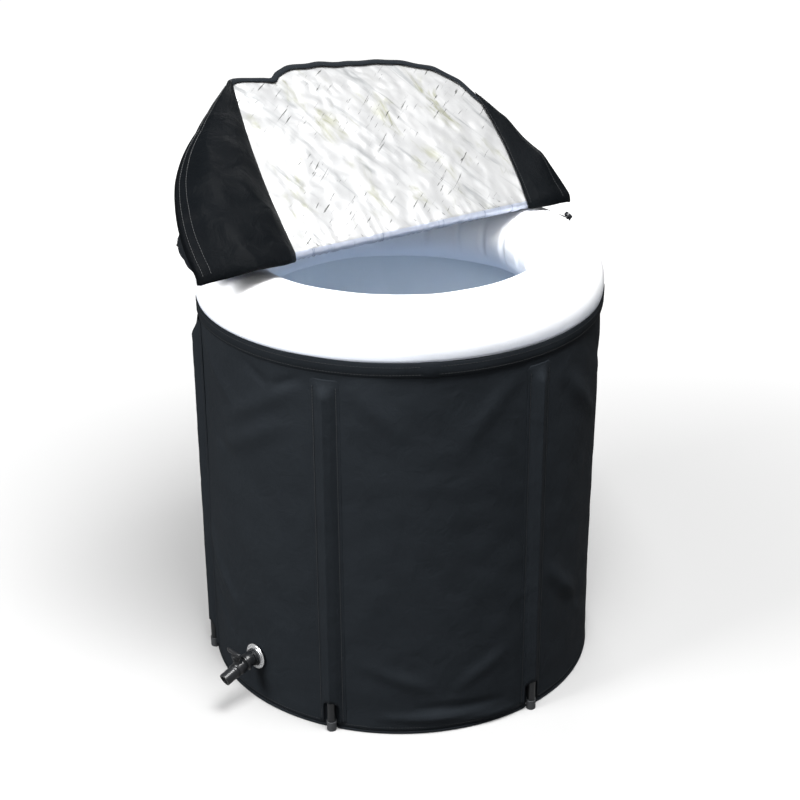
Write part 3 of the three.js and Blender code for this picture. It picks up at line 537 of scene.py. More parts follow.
def build_studio():
    size = FLOOR_HALF
    corners = [(-size, -size, 0), (size, -size, 0), (size, size, 0), (-size, size, 0)]
    mesh = bpy.data.meshes.new("floor")
    mesh.from_pydata(corners, [], [(0, 1, 2, 3)])
    floor = placed("floor", mesh)
    paint = Paint("pale_floor")
    # White to the camera, and dim as a reflector, so that it doesn't light the dark cloth from below
    seen = paint.node("ShaderNodeLightPath")
    paint.set(Base_Color=paint.blend(seen, (0.16, 0.16, 0.16), (0.36, 0.36, 0.36)), Roughness=0.9)
    x, y, _ = paint.axes(paint.place())
    far = (x * x + y * y).math("POWER", 0.5).step(0.5, 3.2)
    glow = paint.blend(seen * (far * 0.85 + 0.15), (0, 0, 0), (1, 1, 1))
    paint.set(Emission_Color=glow, Emission_Strength=FLOOR_GLOW, Specular_IOR_Level=0.1)
    mesh.materials.append(paint.material)
    floor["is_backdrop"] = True
    world = bpy.data.worlds.new("studio")
    world.use_nodes = True
    tree = world.node_tree
    seen = tree.nodes.new("ShaderNodeLightPath").outputs["Is Camera Ray"]
    strength = tree.nodes.new("ShaderNodeMapRange")
    tree.links.new(seen, strength.inputs["Value"])
    strength.inputs["To Min"].default_value = SKY_LIGHT
    strength.inputs["To Max"].default_value = 1.0
    sky = tree.nodes["Background"]
    sky.inputs["Color"].default_value = (1.0, 1.0, 1.0, 1.0)
    tree.links.new(strength.outputs["Result"], sky.inputs["Strength"])
    bpy.context.scene.world = world
    bpy.context.scene.view_settings.view_transform = "Standard"
    middle = (0, 0, 0.5)
    light("key", (-3.2, -1.3, 2.2), middle, 1.3, 165)
    light("front", (-0.6, -3.2, 3.0), middle, 1.6, 34)
    light("top", (0.2, -1.0, 3.2), (0, 0.15, 0.5), 1.2, 180)
    light("back", (0.8, 3.2, 2.4), middle, 1.6, 60)


# Cloth wall

CREASES = [
    # azimuth and height of both ends, half width, height of the ridge, in degrees and millimetres
    (-36, 705, -47, 672, 8, -3.5), (-47, 672, -58, 708, 8, -3.5), (-36, 690, -70, 560, 18, 4),
    (-40, 620, -78, 470, 20, 4), (-85, 700, -62, 600, 16, 4), (-84, 600, -60, 450, 20, -3),
    (-24, 705, -8, 600, 20, 3), (24, 705, 6, 580, 20, 3), (-22, 150, 0, 90, 14, 3), (22, 160, 4, 85, 14, 3),
    (-18, 36, 18, 30, 8, 4), (-8, 56, 22, 46, 9, -3), (2, 20, 26, 18, 6, 3), (34, 300, 60, 120, 16, 5),
    (40, 220, 70, 100, 14, -4), (38, 680, 66, 520, 18, 4), (50, 720, 80, 600, 15, -3),
    (-88, 300, -64, 160, 16, 4), (-84, 180, -66, 100, 12, -4), (96, 690, 130, 540, 18, 4),
    (100, 250, 138, 110, 16, 4.5), (156, 700, 190, 570, 18, 4), (204, 260, 172, 120, 16, 4.5),
    (216, 700, 250, 560, 18, -3.5), (222, 70, 262, 50, 10, 4), (110, 60, 140, 40, 9, 3.5),
    (160, 430, 196, 400, 30, -3), (226, 400, 258, 330, 28, 3),
]
CREASE_GAIN = 1.5
PANEL_SAG = 0.003
DRAPE = 0.0038
FOOT_TUCK = 0.0012
TUCK_HEIGHT = 0.10
BED_HALF = 0.0085
SEWN_HALF = 0.020
FOOT_SEAM = 0.014


def wavering(points, scale, seed):
    """Smooth noise from -1 to 1 at each point of a grid."""
    shift = Vector((seed * 3.1, seed * 1.7, seed * 5.3))
    flat = [noise.noise(Vector(p) * scale + shift) for p in points.reshape(-1, 3)]
    return np.array(flat).reshape(points.shape[:-1])


def from_pole(azimuth):
    """Degrees to the nearest pole."""
    return (azimuth - POLES[0] + 30) % 60 - 30


def wall_radius(azimuth, height):
    """Outside of the jacket: held out by the poles, slack between them, creased where it drapes."""
    azimuth, height = np.broadcast_arrays(np.asarray(azimuth, float), np.asarray(height, float))
    between = 0.5 - 0.5 * np.cos(np.radians(6 * (azimuth - POLES[0])))
    radius = WALL_RADIUS - FOOT_TUCK * unit(1 - height / TUCK_HEIGHT) ** 2
    radius = radius - PANEL_SAG * between * np.sin(np.pi * unit(height / WALL_TOP)) ** 0.5
    bed = np.exp(-(from_pole(azimuth) * math.radians(WALL_RADIUS) / BED_HALF) ** 4)
    bed = bed * unit((SLEEVE_TOP - height) / 0.03)
    for az1, z1, az2, z2, width, ridge in CREASES:
        z1, z2, width, ridge = (length * MM for length in (z1, z2, width, ridge))
        run = np.array([math.radians(az2 - az1) * WALL_RADIUS, z2 - z1])
        length = np.hypot(*run)
        run = run / length
        turn = np.radians((azimuth - az1 + 180) % 360 - 180) * WALL_RADIUS
        along = (turn * run[0] + (height - z1) * run[1]) / length
        off = turn * run[1] - (height - z1) * run[0]
        fade = unit(along) * unit(1 - along) * 4
        radius = radius + CREASE_GAIN * ridge * np.exp(-(off / width) ** 2) * fade
    return np.maximum(radius - (POLE_BED + radius - WALL_RADIUS) * bed, WALL_RADIUS - POLE_BED)


def off_pole(azimuth):
    """0 along a sewn sleeve, 1 in the slack panel between two."""
    return unit((np.abs(from_pole(azimuth)) - math.degrees(SEWN_HALF / WALL_RADIUS)) / 3.0)


def wall_grid(heights, out):
    azimuth, height = np.meshgrid(ROUND, heights)
    radius = wall_radius(azimuth, height)
    calm = polar(azimuth, WALL_RADIUS, height)
    still = unit((WALL_TOP - height) / 0.03) * unit(height / 0.02)
    drape = wavering(calm * np.array([1, 1, 0.45]), 7.0, 1) + 0.45 * wavering(calm, 21.0, 2)
    radius = radius + DRAPE * still * off_pole(azimuth) * drape
    radius = np.maximum(radius, WALL_RADIUS - POLE_BED + 0.0004)
    return polar(azimuth, radius + out, height)


def metres(heights):
    """Place on the flat cloth of a strip that runs round the wall."""
    azimuth, height = np.meshgrid(ROUND, heights)
    return np.stack([np.radians(azimuth) * WALL_RADIUS, height], -1)


def build_jacket():
    heights = np.linspace(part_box("outer_jacket")[0][2], WALL_TOP, 130)
    points = wall_grid(heights, -CLOTH)
    jacket = sheet_piece("jacket_cloth", points, "cloth", metres(heights), CLOTH, wrap=True)
    drill = lathe("drill", tube(0, EYELET_BORE, -20, 20), DRAIN_OUT, "cloth", closed=False)
    combined(jacket, drill, "DIFFERENCE")
    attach(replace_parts(jacket, "outer_jacket"), "tub")


def build_hem():
    """A tape folded over the top edge, a little wavy, lapped at the front and loose at one place."""
    wave = circle(len(ROUND))
    loose = np.exp(-((ROUND - 79) / 7) ** 2)
    lift = 0.0012 * np.sin(5 * wave + 0.6) + 0.0008 * np.sin(13 * wave) + 0.005 * loose
    lap = np.exp(-(((ROUND + 2 + 180) % 360 - 180) / 2.2) ** 4) * 0.0014 + 0.004 * loose
    section = [(0.0002, -HEM_DEPTH), (0.0016, -HEM_DEPTH + 0.001), (0.0019, -0.012), (0.0018, 0.0005),
               (0.0004, 0.0026), (-0.003, 0.0030), (-0.0085, 0.0024)]
    rows = []
    for out, up in section:
        height = WALL_TOP + up + lift * (1 if up > -0.02 else 0.4)
        rows.append(polar(ROUND, wall_radius(ROUND, np.minimum(height, WALL_TOP)) + out + lap, height))
    uv = metres([WALL_TOP + up - max(0, -out) for out, up in section])
    hem = sheet_piece("top_hem", np.array(rows), "hem_cloth", uv, 0.0012, wrap=True)
    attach(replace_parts(hem, "top_hem_band"), "tub")


def build_piping():
    low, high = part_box("bottom_piping")
    cord = (high[2] - low[2]) / 2
    centre = wall_radius(ROUND, 0.0) - 0.0016
    turns = circle(12)
    rows = [polar(ROUND, centre + cord * math.cos(t), cord * (1.1 + math.sin(t))) for t in turns]
    rows = np.array(rows + rows[:1])
    uv = metres(np.linspace(0, TAU * cord, len(rows)))
    faces = lattice(len(rows), len(ROUND), True)
    piping = piece("base_piping", rows, faces, "hem_cloth", uv)
    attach(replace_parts(piping, "bottom_piping"), "tub")


def build_wall_seams():
    loop = np.append(ROUND, 180.0)
    lines = []
    for height, out in ((WALL_TOP - 0.005, 0.0032), (WALL_TOP - 0.019, 0.0032), (FOOT_SEAM, 0.0006)):
        heights = np.full_like(loop, height)
        lines.append((polar(loop, wall_radius(loop, heights) + out, heights), polar(loop, 1.0, 0.0)))
    stitched("hem_stitching", lines, "tub")


def build_hidden_layers():
    low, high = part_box("insulation_wall")
    made = turned_piece("foam_wall", tube(*FOAM_WALL, low[2], high[2]), Matrix.Identity(4), "foam", 120)
    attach(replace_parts(made, "insulation_wall"), "tub")
    for node, finish in (("insulation_base", "foam"), ("base_sheet", "cloth")):
        low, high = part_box(node)
        disc = filleted(tube(0.0, high[0], low[2], high[2]), 0.0008, 3, False)
        made = turned_piece(f"{node}_layer", disc, Matrix.Identity(4), finish, 160, False)
        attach(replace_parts(made, node), "tub")


def sleeve_hump(side):
    """How far the sleeve stands off the wall: drawn over the pole, straight down to its seams."""
    radius = POLE_RADIUS + 0.0006
    centre = POLE_AXIS - WALL_RADIUS
    seam = SLEEVE_HALF - 0.0075
    lean = math.acos(radius / math.hypot(seam, centre)) - math.atan2(seam, centre)
    lean = math.pi - lean - math.pi / 2
    touch = radius * math.cos(lean), centre + radius * math.sin(lean)
    offset = np.abs(side)
    crown = centre + np.sqrt(np.clip(radius ** 2 - offset ** 2, 0, None))
    slope = touch[1] * unit((seam - offset) / (seam - touch[0]))
    return np.where(offset < touch[0], crown, slope)


def build_sleeve(number, azimuth):
    edge = np.array([SLEEVE_HALF, 0.0262, 0.025, 0.023, 0.021, 0.0195, 0.0185, 0.0173, 0.0163, 0.0159])
    side = np.concatenate([-edge, np.linspace(-0.0150, 0.0150, 31), edge[::-1]])
    share = np.concatenate([np.linspace(0, 0.9, 70), np.linspace(0.905, 1, 24)])
    arch = ARCH_TOP - ARCH_HALF + np.sqrt(np.clip(ARCH_HALF ** 2 - side ** 2, 0, None))
    low = np.where(np.abs(side) < ARCH_HALF, arch, SLEEVE_LOW)
    bend = np.clip(np.abs(side) - (SLEEVE_HALF - SLEEVE_CORNER), 0, SLEEVE_CORNER)
    high = SLEEVE_TOP - SLEEVE_CORNER + np.sqrt(SLEEVE_CORNER ** 2 - bend ** 2)
    height = low + (high - low) * share[:, None]
    closing = eased(unit((SLEEVE_TOP - 0.004 - height) / 0.030))
    turn = azimuth + np.degrees(side / WALL_RADIUS) + 0 * height
    calm = polar(turn, WALL_RADIUS, height)
    slack = 0.0006 * np.abs(wavering(calm, 40.0, 11 + number))
    slack = slack + 0.0012 * np.abs(wavering(calm, 14.0, 31 + number))
    edge_fade = unit((SLEEVE_HALF - np.abs(side)) / 0.008)
    top_fade = unit((high - height) / 0.008)
    out = sleeve_hump(side) * closing + slack * edge_fade + 0.0008 * np.minimum(edge_fade, top_fade) - 0.0003
    seam_turn = azimuth + np.sign(side) * math.degrees(SEAM_SEAT / WALL_RADIUS)
    seam = wall_radius(seam_turn + 0 * height, height)
    seat = np.where(np.abs(side) < SEAM_SEAT, seam, wall_radius(turn, height))
    seat = np.maximum(seat, WALL_RADIUS - SEAT_DIP)
    seat = seat + (WALL_RADIUS + 0.0016 - seat) * unit((0.0195 - np.abs(side)) / 0.008)
    points = polar(turn, seat + out, height)
    uv = np.stack([side + 0 * height + number, height], -1)
    made = sheet_piece(f"sleeve_cloth_{number}", points, "cloth", uv, CLOTH * 0.4)
    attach(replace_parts(made, f"pole_sleeve_{number}"), "tub")
    lines = []
    for direction in (-1, 1):
        heights = np.linspace(SLEEVE_LOW + 0.004, SLEEVE_TOP - 0.012, 60)
        turns = np.full_like(heights, azimuth + direction * math.degrees(SEAM_LINE / WALL_RADIUS))
        radius = np.maximum(wall_radius(turns, heights), WALL_RADIUS - SEAT_DIP) + 0.0006 + CLOTH
        lines.append((polar(turns, radius, heights), polar(turns, 1.0, 0.0 * heights)))
    return lines


# Sections of turned parts: radius and height in millimetres
POLE_BORE = 6.2
FOOT = [(0, 0), (8, 0), (9, 1.2), (9, 15.6), (9.4, 16), (9.4, 19.6), (9, 20), (8, 20), (8, 4), (0, 4)]


def build_poles():
    lines = []
    for number, azimuth in enumerate(POLES, 1):
        lines += build_sleeve(number, azimuth)
        place = Matrix.Translation(Vector(polar(azimuth, POLE_AXIS, 0.0)))
        node = f"support_pole_{number}"
        ends = [corner[2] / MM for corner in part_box(node)]
        lathe(f"pole_{number}", tube(POLE_BORE, POLE_RADIUS / MM, *ends), place, "plastic", node, steps=40)
        lathe(f"foot_{number}", FOOT, place, "rubber", f"foot_cap_{number}", round_by=0.4, steps=40,
              closed=False)
    stitched("sleeve_stitching", lines, "tub")


# Air ring and liner

def build_ring():
    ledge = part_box("top_hem_band")[1][2] + 0.0012
    pressed = LINER_RADIUS - 0.0030
    ledge_turn = math.asin((ledge - RING_HEIGHT) / RING_TUBE)
    pressed_turn = -math.acos((pressed - RING_RADIUS) / RING_TUBE)
    turns = np.linspace(ledge_turn, TAU + pressed_turn, 72)
    turn, azimuth = np.meshgrid(turns, ROUND, indexing="ij")
    base = polar(azimuth, RING_RADIUS + RING_TUBE * np.cos(turn), RING_HEIGHT + RING_TUBE * np.sin(turn))
    free = unit((turn - ledge_turn) / 0.5)
    inner = np.exp(-((turn - math.pi) / 0.55) ** 2)
    wave = np.radians(azimuth)
    tucks = np.clip(np.sin(23 * wave + 1.3 * np.sin(3 * wave)), 0.55, 1) - 0.55
    swell = 0.0020 * wavering(base, 4.5, 3) + 0.0012 * wavering(base, 13.0, 4)
    swollen = RING_TUBE + free * swell - 0.009 * inner * tucks
    points = polar(azimuth, RING_RADIUS + swollen * np.cos(turn), RING_HEIGHT + swollen * np.sin(turn))
    corner = polar(ROUND, pressed, ledge)
    rows = np.concatenate([corner[None], points, corner[None]])
    faces = lattice(len(rows), len(ROUND), True)
    made = piece("ring_tube", rows, faces, "ring")
    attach(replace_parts(made, "air_ring"), "tub")


def build_liner():
    wall = LINER_RADIUS - 0.0022
    floor = LINER_FLOOR + 0.0018
    bend = 0.03
    profile = [(wall, z) for z in np.linspace(WALL_TOP - 0.002, floor + bend, 60)[:-1]]
    for t in np.linspace(0, math.pi / 2, 8):
        profile.append((wall - bend + bend * math.cos(t), floor + bend - bend * math.sin(t)))
    profile += [(r, floor) for r in np.linspace(wall - bend, 0.002, 24)[1:]]
    radius = np.array([r for r, _ in profile])[:, None] + 0 * ROUND
    height = np.array([z for _, z in profile])[:, None] + 0 * ROUND
    calm = polar(ROUND + 0 * radius, radius, height)
    slack = unit((WALL_TOP - height) / 0.05)
    folds = np.abs(wavering(calm * np.array([1, 1, 0.35]), 7.0, 6)) + 0.5 * np.abs(wavering(calm, 17.0, 7))
    on_wall = unit((radius - wall + bend) / bend)
    radius = radius - 0.011 * folds * slack * on_wall
    points = polar(ROUND + 0 * radius, radius, height + 0.004 * folds * (1 - on_wall))
    uv = np.stack([np.radians(ROUND) * wall + 0 * height, np.cumsum(0 * radius + 0.012, 0)], -1)
    made = sheet_piece("liner_skin", points, "liner", uv, 0.0008, wrap=True, outward=-1)
    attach(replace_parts(made, "liner_front", "liner_back", "liner_floor"), "tub")


# Lid

# Directions: along the fold, to the back, up, up the raised half, and out from its foil
ALONG = Vector(FOLD)
BACK = Vector((-FOLD[1], FOLD[0], 0.0))
UP = Vector((0, 0, 1))
RISE = BACK * -math.cos(LID_OPEN) + UP * math.sin(LID_OPEN)
FACE = BACK * -math.sin(LID_OPEN) + UP * -math.cos(LID_OPEN)
FOIL_SEAT = LID_THICKNESS - 0.0028
WING_SEAT = LID_THICKNESS + 0.004
WRAP = 0.16
SKIRT_START = 26
SKIRT_FLARES = 7
SKIRT_END = 180 - SKIRT_START


def framed(side, reach, proud, ways):
    """Points from the hinge: along the fold, away from it and off the lid's surface."""
    points = HINGE
    for share, way in zip(np.broadcast_arrays(side, reach, proud), ways):
        points = points + np.asarray(share, float)[..., None] * np.array(way)
    return points


def on_rear(side, back, lift):
    """Points of the back half: along the fold, towards the back and up from the cover."""
    return framed(side, back, lift, (ALONG, BACK, UP))


def on_flap(side, rise, proud):
    """Points of the raised half: along the fold, up the flap and out from its cover to the foil."""
    return framed(side, rise, proud, (ALONG, RISE, FACE))


def at_turn(place, turn, radius, proud):
    """Points of a half of the lid, by their turn from the right end of the fold."""
    return place(radius * np.cos(turn), radius * np.sin(turn), proud)


FLAP_RIM = [
    # turn from the right end of the fold, and change of the rim's radius, in millimetres
    (0, -11), (8, -13), (20, -18), (30, -13), (38, 0), (45, 12), (53, 17), (62, 6), (72, -10), (82, -17),
    (92, -14), (99, -6), (102.5, -9), (105.5, -22), (110.5, -2), (116, 20), (123, 7), (130, -3), (138, -8),
    (146, -4), (155, 0), (180, 0),
]


def flap_rim(turn):
    """Radius of the raised half's rim, which its skirt pulls straight between two soft corners."""
    turns, changes = zip(*FLAP_RIM)
    return LID_RADIUS + MM * np.interp(np.degrees(turn), turns, changes)


def half_disc(rows, columns, rim, shrink=0.9995):
    """Distances along the fold and away from it over a half disc, row by row from the fold."""
    share = np.sin(np.linspace(0, math.pi / 2, rows))[:, None]
    ray = np.linspace(-1, 1, columns)
    side = np.sqrt(np.clip(1 - share ** 2, 1e-6, None)) * ray
    turn = np.arctan2(share + 0 * ray, side)
    radius = (rim(turn) if rim else LID_RADIUS) * shrink
    return side * radius, (share + 0 * ray) * radius


def drawn_in(side, reach, share, run):
    """Distances along the fold, less at its ends, where the binding stops."""
    return side * (1 - share * np.exp(-reach / run))


def puckers(side):
    return np.abs(np.sin(side * 170 + 4 * np.sin(side * 31)))


def build_foil():
    rear_side, rear_reach = half_disc(50, 150, None)
    side, reach = half_disc(90, 150, flap_rim)
    rear_side = drawn_in(rear_side, rear_reach, 0.02, 0.012)
    side = drawn_in(side, reach, 0.02, 0.012)
    rear = on_rear(rear_side, rear_reach, -FOIL_SEAT)[::-1]
    flap = on_flap(side, reach, FOIL_SEAT)
    turns = np.linspace(math.radians(-90), math.radians(-90) - LID_OPEN, 14)[1:-1, None]
    share = np.linspace(0, 1, 14)[1:-1, None]
    arc_side = rear_side[:1] * (1 - share) + side[:1] * share
    arc = on_rear(arc_side, FOIL_SEAT * np.cos(turns), FOIL_SEAT * np.sin(turns))
    # Crumples all over, and puckers that run up from the fold
    crumple = 0.0030 * np.abs(wavering(flap, 16.0, 21)) + 0.0016 * np.abs(wavering(flap, 42.0, 22))
    ripple = puckers(side) * (0.5 + 0.5 * wavering(flap, 18.0, 23))
    flap += (crumple + 0.0035 * ripple * np.exp(-reach / 0.030))[..., None] * np.array(FACE)
    outward = arc - HINGE - arc_side[..., None] * np.array(ALONG)
    arc += outward / FOIL_SEAT * (0.002 * puckers(arc_side))[..., None]
    points = np.concatenate([rear, arc, flap])
    run = np.concatenate([-rear_reach[::-1], 0 * arc_side, reach + 0.02])
    uv = np.stack([np.concatenate([rear_side[::-1], arc_side, side]), run], -1)
    made = sheet_piece("foil_lining", points, "foil", uv, 0.0006)
    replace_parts(made, "lid_flap_foil", "lid_rear_foil")
    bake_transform(made)


def build_cover():
    rear_side, rear_reach = half_disc(44, 90, None)
    side, reach = half_disc(44, 90, flap_rim)
    rear = on_rear(rear_side, rear_reach, -0.0012)
    flap = on_flap(side, reach, 0.0012)
    rear_folds = 0.0025 * np.abs(wavering(rear, 9.0, 41)) * unit(rear_reach / 0.05)
    folds = 0.0025 * np.abs(wavering(flap, 9.0, 42)) * unit(reach / 0.05)
    rear += rear_folds[..., None] * np.array(UP)
    flap -= folds[..., None] * np.array(FACE)
    points = np.concatenate([rear[::-1], flap[1:]])
    uv = np.concatenate([np.stack([rear_side, -rear_reach], -1)[::-1], np.stack([side, reach], -1)[1:]])
    made = sheet_piece("cover_cloth", points, "lid_cloth", uv, 0.0009)
    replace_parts(made, "lid_flap_cover", "lid_rear_cover")
    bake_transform(made)


def build_lid_foam(label, place, rim, sign, body):
    side, reach = half_disc(30, 60, rim, 0.994)
    side = drawn_in(side, reach, 0.03, 0.02)
    points = place(side, reach + 0.003, sign * 0.0030)
    uv = np.stack([side, reach], -1)
    made = sheet_piece(f"lid_foam_{label}", points, "foam", uv, LID_THICKNESS - 0.0062, outward=sign)
    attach(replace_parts(made, f"lid_{label}_foam"), body)


def build_binding(label, place, rim, sign, body):
    turn = np.radians(np.linspace(1.2, 178.8, 160))
    thick = LID_THICKNESS
    section = [(-0.011, thick + 0.0040), (-0.004, thick + 0.0030), (0.0012, thick + 0.0014),
               (0.0030, thick * 0.75), (0.0034, thick * 0.45), (0.0028, 0.0020), (0.0006, -0.0006),
               (-0.004, -0.0030), (-0.011, -0.0038)]
    waver = 0.0012 * np.sin(17 * turn) + 0.0009 * np.sin(41 * turn + 1)
    rows = []
    for out, proud in section:
        radius = (rim(turn) if rim else LID_RADIUS) + out + waver
        rows.append(at_turn(place, turn, radius, sign * proud))
    uv = np.stack(np.meshgrid(turn * LID_RADIUS, np.linspace(0, 0.04, len(rows))), -1)
    made = sheet_piece(f"rim_binding_{label}", np.array(rows), "hem_cloth", uv, 0.0009)
    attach(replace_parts(made, f"lid_{label}_binding"), body)


def build_rear_skirt():
    degrees = np.linspace(SKIRT_START, SKIRT_END, 220)
    turn = np.radians(degrees)
    down = np.linspace(0, 1, 26)[:, None]
    depth = 0.012 + 0.066 * eased(unit((np.minimum(degrees, 180 - degrees) - SKIRT_START) / 27))
    swing = (degrees - SKIRT_START) / (SKIRT_END - SKIRT_START) * TAU * SKIRT_FLARES
    flare = 0.0055 * (0.5 - 0.5 * np.cos(swing))
    ripple = 0.002 * np.sin(turn * 61)
    radius = LID_RADIUS + 0.0042 + (flare + ripple * down) * down
    points = at_turn(on_rear, turn, radius, -0.001 - depth * down)
    uv = np.stack([turn * LID_RADIUS + 0 * down, depth * down], -1)
    made = sheet_piece("rear_skirt", points, "lid_cloth", uv, 0.0012)
    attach(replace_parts(made, "lid_rear_skirt"), "tub")
    lines = []
    for rise in (0.006, 0.020):
        share = 1 - rise / np.maximum(depth, 0.03)
        radius = LID_RADIUS + 0.0060 + (flare + ripple) * share
        line = at_turn(on_rear, turn, radius, -0.001 - depth * share)
        lines.append((line, line - HINGE))
    stitched("rear_skirt_stitching", lines, "tub")


def build_top_skirt():
    turn = np.radians(np.linspace(66, 146, 120))
    inward = np.linspace(0, 1, 24)[:, None]
    puff = 0.007 * np.sin(np.pi * inward) * np.sin(np.pi * np.linspace(0, 1, 120))
    radius = flap_rim(turn) - 0.075 * inward + 0.003 * np.sin(turn * 23) * inward
    proud = -0.0052 - puff - 0.0015 * np.abs(np.sin(turn * 31)) * inward
    points = at_turn(on_flap, turn, radius, proud)
    uv = np.stack([turn * LID_RADIUS + 0 * inward, 0.075 * inward + 0 * turn], -1)
    made = sheet_piece("top_skirt", points, "lid_cloth", uv, 0.0012)
    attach(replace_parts(made, "lid_top_skirt"), "lid_flap")


def wing_points(up, inward, direction, foot, top, puff, flare, lift=0.0):
    """The skirt gathered in over the foil at one end of the fold.

    Its inner edge starts at foot and its top lies at top along the fold. It puffs out from the foil and
    flares past the rim.
    """
    top_turn = math.acos(top / LID_RADIUS)
    wrapped, up = up, np.maximum(up, 0)
    turn = top_turn * up
    from_right = turn if direction > 0 else math.pi - turn
    flared = flare * (1 - up) ** 1.2 * (0.8 + 1.2 * up) * unit(1 - inward * 1.6)
    rim = flap_rim(from_right) + 0.003 * (1 - up ** 4) + flared
    apex = flap_rim(top_turn if direction > 0 else math.pi - top_turn)
    edge = foot + (apex * math.cos(top_turn) - foot) * up + 0.010 * np.sin(np.pi * up)
    across = rim * np.cos(turn) * (1 - inward) + edge * inward
    rise = rim * np.sin(turn) * (1 - inward) + apex * math.sin(top_turn) * up * inward
    rise = rise - 0.006 * (1 - up) ** 4 * (1 - inward ** 8)
    hump = np.sin(np.pi * inward ** 0.85) ** 0.75
    proud = WING_SEAT + puff * hump * (1 - up ** 1.6) + lift
    # Below the fold the cloth goes on round the foil's roll
    under = unit(-wrapped / WRAP) * math.radians(85)
    rise = rise - (0.5 * proud + 0.5 * WING_SEAT) * np.sin(under)
    proud = proud - WING_SEAT * (1 - np.cos(under))
    points = on_flap(direction * across, rise, proud)
    folds = 0.45 - np.abs(wavering(points, 8.5, 51 + direction))
    crumple = 0.018 * folds + 0.006 * wavering(points, 19.0, 53 + direction)
    fade = unit(np.sin(np.pi * np.clip(inward, 0.02, 0.98)) * 2)
    crumple = np.maximum(crumple * fade * (1 - up ** 3), -0.6 * (proud - LID_THICKNESS))
    return points + crumple[..., None] * np.array(FACE)


def build_wing(name, node, direction, insets, *form):
    up, inward = np.meshgrid(np.linspace(-WRAP, 0.99, 84), np.linspace(0, 1, 56), indexing="ij")
    points = wing_points(up, inward, direction, *form)
    uv = np.stack([inward * 0.2, up * 0.4], -1)
    made = sheet_piece(name, points, "lid_cloth", uv, 0.0012, outward=direction)
    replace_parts(made, node)
    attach(made, "lid_flap")
    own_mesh(made)
    lines = []
    for inset in insets:
        run = wing_points(np.linspace(-WRAP * 0.5, 0.96, 90), np.full(90, inset), direction, *form, 0.0010)
        lines.append((run, run * 0 + np.array(FACE)))
    seams = stitched(f"{name}_stitching", lines, "lid_flap")
    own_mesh(seams)


def build_lid():
    build_foil()
    build_cover()
    halves = ("rear", on_rear, None, -1, "tub"), ("flap", on_flap, flap_rim, 1, "lid_flap")
    for build in (build_lid_foam, build_binding):
        for half in halves:
            build(*half)
    build_rear_skirt()
    build_top_skirt()
    build_wing("left_wing", "lid_left_wing", -1, (0.030, 0.075), 0.230, 0.175, 0.050, 0.034)
    build_wing("right_wing", "lid_right_wing", 1, (0.30, 0.96), 0.288, 0.306, 0.016, -0.003)


# Drain, tap and valve

def moved(x, y=0.0, z=0.0):
    """A shift in millimetres."""
    return Matrix.Translation((x * MM, y * MM, z * MM))


ALONG_X = Matrix.Rotation(math.radians(90), 4, "Y")
DRAIN_AZIMUTH = -57
DRAIN = Matrix.Translation(Vector(polar(DRAIN_AZIMUTH, 0.3745, 0.096)))
DRAIN = DRAIN @ Matrix.Rotation(math.radians(DRAIN_AZIMUTH - 90), 4, "Z")
EYELET_BORE = 15.8
ELBOW_BEND = 20.26
TAP_DROOP = math.radians(19)
TAP = DRAIN @ moved(ELBOW_BEND) @ Matrix.Rotation(TAP_DROOP, 4, "Y")
STEM = TAP @ moved(19.8)
# The same places with Z along the bore, for turned parts
DRAIN_OUT = DRAIN @ ALONG_X
TAP_OUT = TAP @ ALONG_X
VALVE_AZIMUTH = 108
VALVE_RISE = math.radians(40)


def lathe(name, profile, place, finish, node=None, round_by=0.5, steps=56, closed=True):
    """A turned part, its profile in millimetres, that may stand for a CAD node of the tub."""
    points = [(r * MM, h * MM) for r, h in profile]
    shape = filleted(points, round_by * MM, 4, closed)
    made = turned_piece(name, shape, place, finish, steps, closed)
    if node:
        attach(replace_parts(made, node), "tub")
    return made


def swept(name, stations, finish, steps=40):
    """A closed body through ellipses: each station is a matrix, a half width and a half height."""
    turns = circle(steps)
    points = []
    for place, wide, high in stations:
        points += [place @ Vector((0, wide * MM * math.cos(t), high * MM * math.sin(t))) for t in turns]
    faces = lattice(len(stations), steps, True)
    last = (len(stations) - 1) * steps
    faces += [tuple(range(steps)), tuple(range(last, last + steps))]
    return piece(name, points, faces, finish)


def tube(inner, outer, low, high):
    return [(inner, low), (outer, low), (outer, high), (inner, high)]


